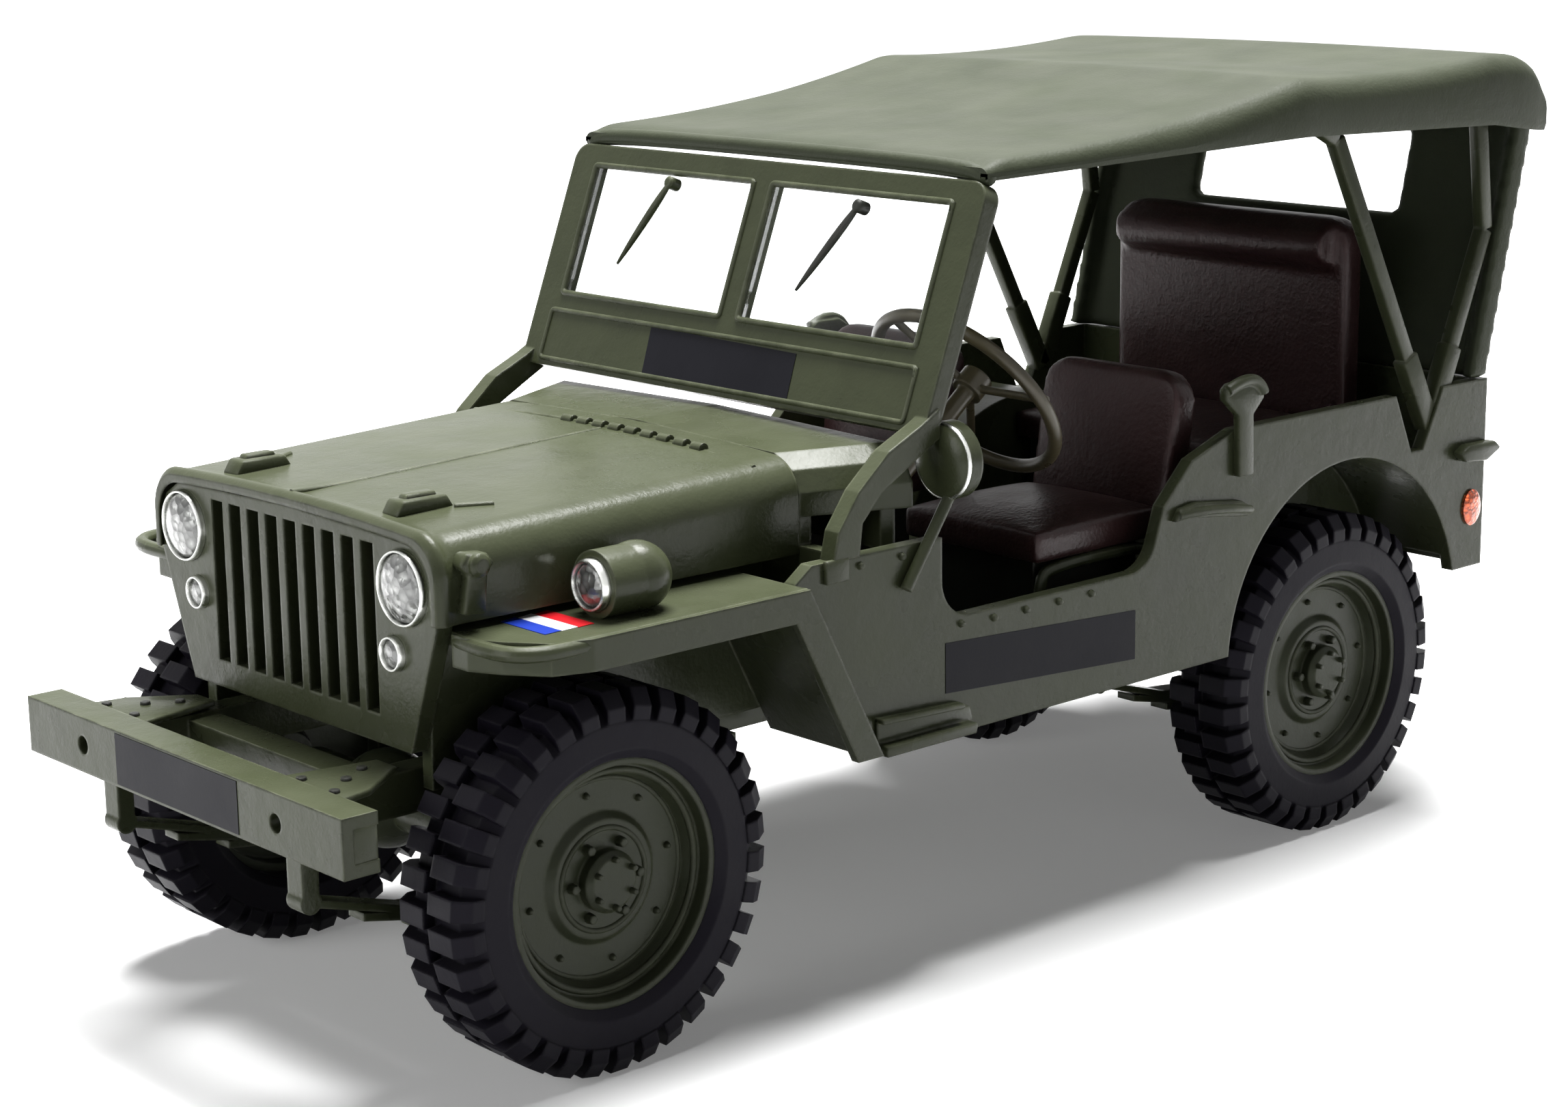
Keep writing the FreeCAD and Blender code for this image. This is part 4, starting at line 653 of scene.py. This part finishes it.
def canvas_profile(x, inward):
    """Section of the top across the car, with its edge rolled down at the front."""
    height, half, low = smooth_top(x)
    hem = 0.35 * math.exp(-((TOP_START - x) / 0.8) ** 2)
    height, half = height - hem - inward, half - inward
    shoulder = min(1.25, (height - low) * 0.8)
    points = [(half - 0.10, low), (half, low + 0.35), (half, height - shoulder)]
    points += round_shoulder(half, height, shoulder, range(15, 91, 15))
    points += [((half - shoulder) * (1 - k / 8), height + 0.12 * math.sin(math.pi / 2 * k / 8))
               for k in range(1, 9)]
    return points + [(-across, up) for across, up in points[-2::-1]]


def rolled_hem():
    """Rolled front edge of the top over the windscreen."""
    height, half, low = smooth_top(TOP_START)
    across = [(-half + 0.35, low + 0.2), (-half + 0.35, height - 0.9), (-half + 1.4, height - 0.45)]
    points = across + [(0, height - 0.38)] + [(-y, z) for y, z in across[::-1]]
    return tube([(TOP_START - 0.35, y, z) for y, z in points], 0.42)


CANVAS_STEPS, CANVAS_THICK = 110, 0.5
stations = [TOP_START + (TOP_END - TOP_START) * k / CANVAS_STEPS for k in range(CANVAS_STEPS + 1)]
canvas = double_sheet(stations, canvas_profile, CANVAS_THICK)
top = piece("canvas_top_sheet", gather([canvas, rolled_hem()]), CANVAS, crease=50)
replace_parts(top, "canvas_roof")


# ---------------------------------------------------------------- soft forms
def softened(node, voxel, relax, extras=()):
    """Rounded closed form of a CAD node and extra meshes, merged and relaxed."""
    block = bmesh.new()
    block.from_mesh(NODES[node].data)
    bmesh.ops.remove_doubles(block, verts=block.verts, dist=1e-6)
    whole = gather([block, *extras])
    mesh = bpy.data.meshes.new("scratch")
    whole.to_mesh(mesh)
    whole.free()

    def modify(obj):
        remesh = obj.modifiers.new("remesh", "REMESH")
        remesh.mode = "VOXEL"
        remesh.voxel_size = voxel * MM
        smooth = obj.modifiers.new("smooth", "SMOOTH")
        smooth.factor = 0.5
        smooth.iterations = relax

    return baked(mesh, modify)


def crown(bm, axis, amount):
    """Swell of the high face of a pad, most in its middle and none at its edges."""
    low = [min(v.co[k] for v in bm.verts) for k in range(3)]
    high = [max(v.co[k] for v in bm.verts) for k in range(3)]
    others = [k for k in range(3) if k != axis]
    for vert in bm.verts:
        shares = [2 * (vert.co[k] - low[k]) / (high[k] - low[k]) - 1 for k in others]
        depth = (vert.co[axis] - low[axis]) / (high[axis] - low[axis])
        full = math.prod(max(1 - abs(share) ** 3, 0) for share in shares)
        vert.co[axis] += amount * MM * full * depth
    return bm


FORWARD, UPWARD = 0, 2
for seat in ("driver", "passenger"):
    pad = crown(softened(seat + "_seat_cushion", voxel=0.22, relax=10), UPWARD, 0.55)
    cushion = piece(seat + "_cushion_form", pad, SEAT, crease=180)
    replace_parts(cushion, seat + "_seat_cushion")
    pad = crown(softened(seat + "_seat_back", voxel=0.22, relax=9), FORWARD, 0.5)
    rest = piece(seat + "_back_form", pad, SEAT, crease=180)
    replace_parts(rest, seat + "_seat_back")

pad = crown(softened("bench_cushion", voxel=0.25, relax=10), UPWARD, 0.6)
cushion = piece("bench_cushion_form", pad, SEAT, crease=180)
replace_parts(cushion, "bench_cushion")
low, high = box_of("bench_back")
roll = tube([(high.x + 0.1, y, high.z - 1.5) for y in (low.y + 0.8, -3, 3, high.y - 0.8)], 1.15)
pad = crown(softened("bench_back", voxel=0.25, relax=9, extras=[roll]), FORWARD, 0.3)
rest = piece("bench_back_form", pad, SEAT, crease=180)
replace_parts(rest, "bench_back")

sheet = softened("canvas_curtain", voxel=0.27, relax=3)
curtain = piece("rear_curtain_form", sheet, CANVAS, crease=60)
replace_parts(curtain, "canvas_curtain")


# ---------------------------------------------------------------- lamps, mirror and reflector
def lamp(node, bulge, rim):
    """Domed lens in a bright ring, in place of a CAD lens that faces forward."""
    low, high = box_of(node)
    middle = (low + high) / 2
    radius = (high.y - low.y) / 2
    face = (high.x, middle.y, middle.z)
    dome = [(-0.5, 0), (-0.5, radius - rim), (-0.1, radius - rim)]
    dome += [(-0.1 + bulge * math.sin(turn), (radius - rim) * math.cos(turn))
             for turn in (math.radians(15 * k) for k in range(1, 7))]
    ring = [(-0.5, radius - rim), (-0.5, radius), (0.0, radius), (0.14, radius - 0.3 * rim),
            (0.14, radius - 0.7 * rim), (-0.05, radius - rim), (-0.5, radius - rim)]
    lens = piece(node + "_glass", lathe(dome, face, (1, 0, 0)), LENS)
    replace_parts(lens, node)
    piece(node + "_ring", lathe(ring, face, (1, 0, 0)), BRIGHT)


for side in ("left", "right"):
    lamp("headlamp_" + side, 0.42, 0.14)
    lamp("marker_lamp_" + side, 0.2, 0.14)
lamp("fender_lamp_lens", 0.3, 0.2)

low, high = box_of("mirror")
head = (low.x + 0.7, (low.y + high.y) / 2, high.z - 1.75)
shell = [(-0.05, 0), (-0.05, 1.72), (0.05, 1.72), (0.25, 1.5), (0.42, 1.0), (0.5, 0.5), (0.52, 0)]
piece("mirror_shell", lathe(shell, head, (1, 0, 0)), OLIVE)
band = [(-0.1, 1.6), (-0.1, 1.74), (0.06, 1.74), (0.14, 1.7), (0.14, 1.6), (-0.1, 1.6)]
piece("mirror_rim", lathe(band, head, (1, 0, 0)), BRIGHT)

HALF_BODY = box_of("tub")[1].y
button = [(-0.1, 0), (-0.1, 0.75), (0.12, 0.75), (0.24, 0.6), (0.3, 0.3), (0.32, 0)]
reflector = lathe(button, (0, 0, 0), (0, 1, 0))
bmesh.ops.scale(reflector, vec=(1, 1, 1.3), verts=reflector.verts)
bmesh.ops.translate(reflector, vec=Vector((FRONT - 57.7, HALF_BODY, 15.64)) * MM, verts=reflector.verts)
piece("rear_reflector", reflector, REFLECTOR)


# ---------------------------------------------------------------- printed marks, left blank
FENDER, TUB = skin_of("fender_left"), skin_of("tub")
DOWN = (0, 0, -1)
# name, material, front edge and rear edge ahead of the front axle
STRIPES = (("blue", BLUE, 3.28, 2.42), ("white", WHITE, 2.42, 1.58), ("red", RED, 1.58, 0.74))
for name, material, front, rear in STRIPES:
    corners = [(FRONT + x, y, 19) for x, y in ((front, 10.6), (front, 13.55), (rear, 13.5), (rear, 10.4))]
    piece(f"fender_stripe_{name}", printed(FENDER, corners, DOWN, steps=4), material)

SCREEN_X, SCREEN_FOOT, RAKE = FRONT - 17.4, 24.95, math.radians(21)


def on_screen(y, height, off=0.0):
    """Point of the windscreen: across, up its slope, and off its middle plane to the front."""
    return Vector((SCREEN_X - height * math.sin(RAKE) + off * math.cos(RAKE), y,
                   SCREEN_FOOT + height * math.cos(RAKE) + off * math.sin(RAKE)))


BACKWARD = (-math.cos(RAKE), 0, -math.sin(RAKE))
corners = [on_screen(y, up) for y, up in ((-5.24, 2.77), (5.28, 2.6), (5.42, 0.25), (-5.06, 0.44))]
piece("screen_patch", printed(skin_of("windscreen_frame"), corners, BACKWARD), PATCH)
SIDE_PATCH = ((18.4, 15.41), (31.1, 14.7), (31.1, 12.3), (18.4, 13.08))
corners = [(FRONT - back, HALF_BODY, z) for back, z in SIDE_PATCH]
piece("side_patch", printed(TUB, corners, (0, -1, 0)), PATCH)
BUMPER_LOW, BUMPER_HIGH = box_of("front_bumper")
corners = [(BUMPER_HIGH.x, y, z) for y, z in ((-4.8, 13.6), (4.9, 13.6), (4.9, 11.32), (-4.8, 11.32))]
piece("bumper_patch", printed(skin_of("front_bumper"), corners, (-1, 0, 0)), PATCH)


# ---------------------------------------------------------------- windscreen fittings
# name, its upper end and its lower end as across and up the windscreen, material
WIPERS = (("left", (6.94, 9.72), (4.22, 5.49), DARK_STEEL), ("right", (-6.5, 9.85), (-8.92, 5.55), OLIVE))
for name, top_end, low_end, material in WIPERS:
    ends = [on_screen(*top_end, off=0.62), on_screen(*low_end, off=0.55)]
    middle = [ends[0].lerp(ends[1], share) for share in (0.15, 0.5, 0.85)]
    blade = tube([ends[0], *middle, ends[1]], 0.2, (0.6, 1.0, 1.0, 0.7, 0.35))
    pin = [(-0.5, 0), (-0.5, 0.32), (0.1, 0.32), (0.2, 0.2), (0.2, 0)]
    pivot = lathe(pin, ends[0], (1, 0, 0.38), steps=16)
    piece(f"wiper_{name}", gather([blade, pivot]), material)


def screen_frame(half, middle, low, high, off, radius):
    """Thin raised lip round a field of the windscreen."""
    step = 0.45
    corners = []
    for y, up, turn in ((half, high, 1), (-half, high, -1), (-half, low, 1), (half, low, -1)):
        side, rise = (1 if y > 0 else -1), (1 if up == high else -1)
        near, far = (middle + y, up - rise * step), (middle + y - side * step, up)
        corners += [near, (middle + y, up), far] if turn > 0 else [far, (middle + y, up), near]
    corners += corners[:2]
    return tube([on_screen(y, up, off) for y, up in corners], radius)


lips = [screen_frame(half=13.1, middle=0.0, low=0.35, high=2.85, off=0.45, radius=0.13)]
for side in ("left", "right"):
    low, high = box_of("windscreen_pane_" + side)
    half, middle = (high.y - low.y) / 2 - 0.02, (high.y + low.y) / 2
    bottom, top_edge = ((z - SCREEN_FOOT) / math.cos(RAKE) for z in (low.z, high.z))
    lips.append(screen_frame(half, middle, bottom + 0.05, top_edge - 0.05, 0.42, 0.16))
piece("windscreen_lips", gather(lips), OLIVE)


# ---------------------------------------------------------------- hood and its fittings
HOOD_BACK, HOOD_FRONT = (corner.x for corner in box_of("hood"))
HOOD_HALF, HOOD_TOP = (10.80, 11.20), (23.52, 24.20)  # at its front edge, at its back edge
HINGE = 15.0


def hood_profile(x, inward):
    """Section of the hood: upright sides, round shoulders, crowned top, and a rolled lip in front."""
    share = (HOOD_FRONT - x) / (HOOD_FRONT - HOOD_BACK)
    lip = 0.16 * math.exp(-((HOOD_FRONT - 0.4 - x) / 0.32) ** 2)
    lip -= 0.10 * math.exp(-((HOOD_FRONT - x) / 0.12) ** 2)
    half, height = (start + (end - start) * share + lip - inward for start, end in (HOOD_HALF, HOOD_TOP))
    shoulder, skirt, rise = 1.75, 19.95, 0.26
    points = [(half, skirt), (half, (skirt + height - shoulder) / 2), (half, height - shoulder)]
    points += round_shoulder(half, height, shoulder, range(10, 91, 10))
    points += [((half - shoulder) * (1 - k / 8), height + rise * (1 - (1 - k / 8) ** 2)) for k in range(1, 9)]
    return points + [(-y, z) for y, z in points[-2::-1]]


stations = [HOOD_FRONT - step for step in (0, 0.08, 0.18, 0.3, 0.4, 0.5, 0.65, 0.8, 1.0, 1.2, 1.5)]
stations += [stations[-1] + (HOOD_BACK - stations[-1]) * k / 12 for k in range(1, 13)]
hood = double_sheet(stations, hood_profile, 0.35)
HOOD = BVHTree.FromBMesh(hood)
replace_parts(piece("hood_shell", hood, OLIVE), "hood")


def hood_at(x, y, sunk=0.0):
    """Point of the hood's skin at a place, or that far under it."""
    return touch(HOOD, (x, y, HOOD_TOP[1]), DOWN) - Vector((0, 0, sunk))


crease = [hood_at(x, 0, 0.06) for x in (32.1, 30.5, 27, 23, 19, 15.4)]
piece("hood_crease", tube(crease, 0.13), OLIVE)
seam = [hood_at(HINGE, y, 0.05) for y in (-10.2, -6, -2, 2, 6, 10.2)]
piece("hood_hinge_strip", tube(seam, 0.14), OLIVE)
knuckles = [hood_at(HINGE + 0.02, -3.1 + 1.16 * k) for k in range(9)]
piece("hood_hinge_knuckles", studs(knuckles, (0, 1, 0), 12, 0.27, 0.7, OLIVE, taper=1.0), OLIVE)


def hood_block():
    """Block on the hood that the folded windscreen rests on, dished on top."""
    middle = FRONT + 4.0
    ground = hood_at(middle, 6.1).z
    base = prism([(middle + 1.5, ground - 0.1), (middle + 1.1, ground + 0.55), (middle - 1.1, ground + 0.55),
                  (middle - 1.5, ground - 0.1)], 5.5, 6.7, round_off=0.14)
    pad = prism([(middle + 0.8, ground + 0.5), (middle + 0.7, ground + 0.72), (middle - 0.7, ground + 0.72),
                 (middle - 0.8, ground + 0.5)], 5.8, 6.4, round_off=0.08)
    return gather([base, pad])


def hood_catch():
    """Side catch of the hood: a knob over a tapered strap."""
    x = FRONT + 4.9
    corners = [(x + 0.8, 22.4), (x + 0.45, 22.9), (x - 0.55, 22.8), (x - 0.9, 22.35), (x - 0.55, 22.0),
               (x - 0.4, 20.3), (x + 0.7, 20.4), (x + 0.4, 22.0)]
    plate = prism(corners, 10.55, 11.35, round_off=0.12)
    knob = lathe([(0, 0), (0, 0.5), (0.3, 0.5), (0.45, 0.3), (0.45, 0)], (x, 11.3, 22.4), (0, 1, 0), steps=20)
    return gather([plate, knob])


piece("hood_blocks", on_both_sides(hood_block()), OLIVE)
piece("hood_catches", on_both_sides(hood_catch()), OLIVE)
ribs = [tube([hood_at(FRONT + 2.74, side * 6.9), hood_at(FRONT + 1.3, side * 7.7)], 0.15) for side in (1, -1)]
piece("hood_ribs", gather(ribs), OLIVE)


# ---------------------------------------------------------------- body side fittings
def side_fittings():
    """Strap on the rail, side handle, rear corner lug and hinge leaf of the left body side."""
    face, rail = HALF_BODY - 0.05, 22.25
    x = REAR + 8.66
    strap = [(x + 0.5, rail - 2.1), (x + 0.55, rail + 0.9), (x + 1.6, rail + 1.8), (x + 1.65, rail + 2.3),
             (x + 1.25, rail + 2.6), (x - 0.35, rail + 2.6), (x - 1.0, rail + 2.2), (x - 1.3, rail + 1.65),
             (x - 0.5, rail + 0.9), (x - 0.6, rail - 2.1)]
    front, rear, up = REAR + 13.7, REAR + 7.9, 18.7
    handle = [(front, up - 0.1), (front - 0.4, up + 0.5), (front - 1.6, up + 0.65), (rear + 0.9, up + 0.25),
              (rear, up - 0.25), (rear + 0.4, up - 0.6), (rear + 1.3, up - 0.5), (front - 1.2, up - 0.05)]
    tail = box_of("tub")[0].x
    lug = [(tail + 2.9, up + 0.1), (tail + 2.4, up - 0.4), (tail + 0.6, up - 0.55), (tail - 0.66, up),
           (tail - 0.1, up + 0.45), (tail + 2.2, up + 0.5)]
    cut = FRONT - 14.33
    leaf = [(cut + 1.95, 19.35), (cut + 3.3, 19.35), (cut + 3.3, 20.4), (cut + 1.95, 20.4)]
    roll = tube([(x - 1.2, face + 0.45, rail + 1.9), (x - 0.9, face + 0.5, rail + 2.5),
                 (x + 0.4, face + 0.5, rail + 2.75), (x + 1.5, face + 0.45, rail + 2.3)], 0.28)
    grip = tube([(front - 0.3, face + 0.3, up + 0.2), (front - 1.6, face + 0.6, up + 0.3),
                 (rear + 1.2, face + 0.6, up - 0.05), (rear + 0.2, face + 0.3, up - 0.3)], 0.22)
    return gather([prism(strap, face, face + 0.5, 0.12), prism(handle, face, face + 0.4, 0.1),
                   prism(lug, face, face + 0.7, 0.15), prism(leaf, face, face + 0.3, 0.08), roll, grip])


piece("side_fittings", on_both_sides(side_fittings()), OLIVE)


def below_edge(x, start, gap=0.45):
    """Spot on the left body side a little under the edge of its opening, at a place along the car."""
    z = start
    while z > 12:
        hit = TUB.ray_cast(Vector((x, HALF_BODY + 1, z)) * MM, (0, -1, 0))[0]
        if hit and hit.y / MM > HALF_BODY - 0.2:
            return Vector((x, HALF_BODY, z - gap))
        z -= 0.1
    raise ValueError(f"no body side at {x}")


rivets = [below_edge(FRONT - back, 22.0) for back in (13.2, 15.7, 19.4, 21.5, 23.6, 25.8, 28.0)]
rivets += [Vector((spot.x, -spot.y, spot.z)) for spot in rivets]
piece("side_rivets", studs(rivets, (0, 1, 0), 10, 0.2, 0.2, OLIVE), OLIVE)


def side_step():
    """Step pressed out of the body side at the sill, hollow above its tread."""
    front, back, low, high = FRONT - 14.0, FRONT - 20.0, 11.15, 12.85
    face = [(front, low), (front, high), (back + 0.9, high - 0.25), (back + 0.2, high - 0.6),
            (back, high - 1.2), (back + 0.4, low)]
    tread = [(front, low), (front, low + 0.5), (back + 0.3, low + 0.5), (back + 0.4, low)]
    lip = [(front, high - 0.25), (front, high), (back + 0.9, high - 0.25), (back + 0.9, high - 0.5)]
    return gather([prism(face, HALF_BODY - 0.1, HALF_BODY + 0.2, 0.08),
                   prism(tread, HALF_BODY, HALF_BODY + 0.85, 0.1),
                   prism(lip, HALF_BODY, HALF_BODY + 0.6, 0.08)])


piece("side_steps", on_both_sides(side_step()), OLIVE)


# ---------------------------------------------------------------- fender beads, bumper ends and gussets
def fender_bead():
    """Rolled bead along the front and outer edge of the left fender."""
    low, high = box_of("fender_left")
    x, y, z = high.x - 0.2, high.y - 0.36, high.z - 0.30
    return tube([(x - 0.1, low.y + 2.9, z), (x, y - 3.5, z), (x, y - 1.2, z), (x - 0.9, y - 0.15, z),
                 (x - 2.6, y, z), (x - 8, y, z), (low.x + 6.0, y, z), (low.x + 4.2, y, z)], 0.34)


def bumper_end():
    """Closed end of the bumper channel, and the drilled gusset over the frame horn behind it."""
    low, high = BUMPER_LOW, BUMPER_HIGH
    sheet = 0.5
    inside = [(low.x + 0.04, low.z + sheet), (high.x - sheet, low.z + sheet),
              (high.x - sheet, high.z - sheet), (low.x + 0.04, high.z - sheet)]
    gusset = [(low.x + 0.4, 5.4), (low.x + 0.4, 10.0), (low.x - 1.6, 9.6), (low.x - 4.2, 7.7),
              (low.x - 4.2, 6.3)]
    return gather([prism(inside, high.y - 0.5, high.y - 0.03, 0.02),
                   slab(gusset, high.z - 0.42, high.z - 0.12)])


piece("fender_beads", on_both_sides(fender_bead()), OLIVE)
piece("bumper_ends", on_both_sides(bumper_end()), OLIVE)
bolts = [Vector((BUMPER_LOW.x - back, side * y, BUMPER_HIGH.z - 0.11)) for side in (1, -1)
         for back, y in ((0.3, 6.6), (0.3, 9.0), (1.6, 7.9), (2.9, 7.1))]
piece("gusset_bolts", studs(bolts, (0, 0, 1), 10, 0.24, 0.12, DARK_STEEL, taper=0.9), DARK_STEEL)


# ---------------------------------------------------------------- bows of the top
def bow():
    """Left bow: two flat bars that rise from one foot to the ridges, in sleeves at the foot."""
    outer = HALF_BODY - 0.25
    foot, bend, front = (REAR - 7.15, 20.4), (REAR + 1.17, 35.9), (REAR + 4.6, 37.6)
    rear, back = (REAR - 11.45, 30.3), (REAR - 10.45, 38.0)
    bars = [bar(one, two, 0.85, outer - 0.7, outer) for one, two in
            ((foot, bend), (bend, front), (foot, rear), (rear, back))]
    for end in (bend, rear):
        run = (Vector(end) - Vector(foot)).normalized()
        bars.append(bar(foot, tuple(Vector(foot) + 4.4 * run), 1.15, outer - 0.78, outer + 0.1))
    tubes = [tube([(x, 0, z), (x, outer * 0.5, z), (x, outer - 0.4, z)], 0.35) for x, z in (front, back)]
    return gather(bars + tubes)


for side, bars in (("left", bow()), ("right", mirrored(bow()))):
    hoop = piece("bow_bars_" + side, bars, OLIVE)
    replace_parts(hoop, "bow_" + side)


# ---------------------------------------------------------------- wheels
# count, radius of the ring they stand on, sides, radius, height, taper, share of a step that they start at
WHEEL_STUDS = (
    (8, 3.72, 10, 0.17, 0.22, 0.55, 0.2),
    (6, 1.72, 6, 0.24, 0.4, 0.85, 0.0),
    (6, 1.05, 8, 0.15, 0.3, 0.8, 0.5),
)
WHEEL_RINGS = ((4.75, 0.16), (4.30, 0.12), (2.22, 0.14))  # radius of the ring, of its bead


def wheel_hardware(rim, facing):
    """Rivets, nuts and rolled rings of a wheel disc, laid on the rim's own surface."""
    low, high = box_of(rim)
    middle = (low + high) / 2
    surface = skin_of(rim)
    facing = Vector(facing)
    turn = turn_to(facing).to_matrix()
    made = []
    for count, ring, sides, radius, height, taper, start in WHEEL_STUDS:
        angles = [math.tau * (k + start) / count for k in range(count)]
        spots = [Vector((ring * math.cos(angle), ring * math.sin(angle), 0)) for angle in angles]
        points = [touch(surface, middle + turn @ spot, -facing) for spot in spots]
        made.append(studs(points, facing, sides, radius, height, WHEEL_OLIVE, taper))
    for ring, radius in WHEEL_RINGS:
        spot = touch(surface, middle + turn @ Vector((ring * 0.6, ring * 0.8, 0)), -facing)
        along = (spot - middle).dot(facing) - 0.3 * radius
        angles = [math.tau * k / 10 for k in range(11)]
        section = [(along + radius * math.sin(angle), ring + radius * math.cos(angle)) for angle in angles]
        made.append(lathe(section, middle, facing, steps=56))
    return made


for axle in ("front", "rear"):
    hardware = wheel_hardware(f"{axle}_rim_left", (0, 1, 0)) + wheel_hardware(f"{axle}_rim_right", (0, -1, 0))
    piece(f"{axle}_wheels_studs", gather(hardware), WHEEL_OLIVE, body=f"{axle}_wheels")
piece("spare_wheel_studs", gather(wheel_hardware("spare_rim", (-1, 0, 0))), WHEEL_OLIVE)


# ---------------------------------------------------------------- inside
low, high = box_of("driver_seat_cushion")
rods = []
for side in (1, -1):
    y = side * (high.y - 0.3)
    rods.append(tube([(high.x - 0.5, y, 14.0), (high.x - 0.4, y, 16.4), (high.x - 1.2, y, 17.0),
                      (low.x + 1.4, y, 17.0), (low.x + 0.8, y, 16.6), (low.x + 0.6, y, 14.0)], 0.3))
piece("seat_side_rods", gather(rods), OLIVE)
LEVERS = (-0.4, 0.9, 1.9)
levers = [tube([(7.2, y, 14.0), (6.4, y, 17.0), (4.6, y + 0.2, 20.4)], 0.24, (1.0, 0.8, 0.7)) for y in LEVERS]
ball = [(-0.5, 0), (-0.4, 0.3), (0, 0.48), (0.4, 0.3), (0.5, 0)]
knobs = [lathe(ball, (4.5, y + 0.2, 20.6), (0, 0, 1), steps=16) for y in LEVERS]
piece("gear_levers", gather(levers + knobs), DARK_STEEL)


# ---------------------------------------------------------------- finishes of the CAD nodes
# part of a node's name, its finish; the first that fits is taken
FINISHES = (
    ("tyre", RUBBER), ("rim", WHEEL_OLIVE), ("axle_pin", DARK_STEEL), ("pane", PANE),
    ("seat_base", DARK_STEEL), ("bench_base", DARK_STEEL), ("radiator", DARK_STEEL),
    ("steering", STEERING_BRONZE), ("canvas", CANVAS), ("seat", SEAT), ("bench", SEAT),
    ("lamp_lens", LENS), ("headlamp", LENS), ("marker", LENS), ("", OLIVE),
)
for name, node in NODES.items():
    finish = next(material for part, material in FINISHES if part in name)
    node.data.materials.clear()
    node.data.materials.append(finish)
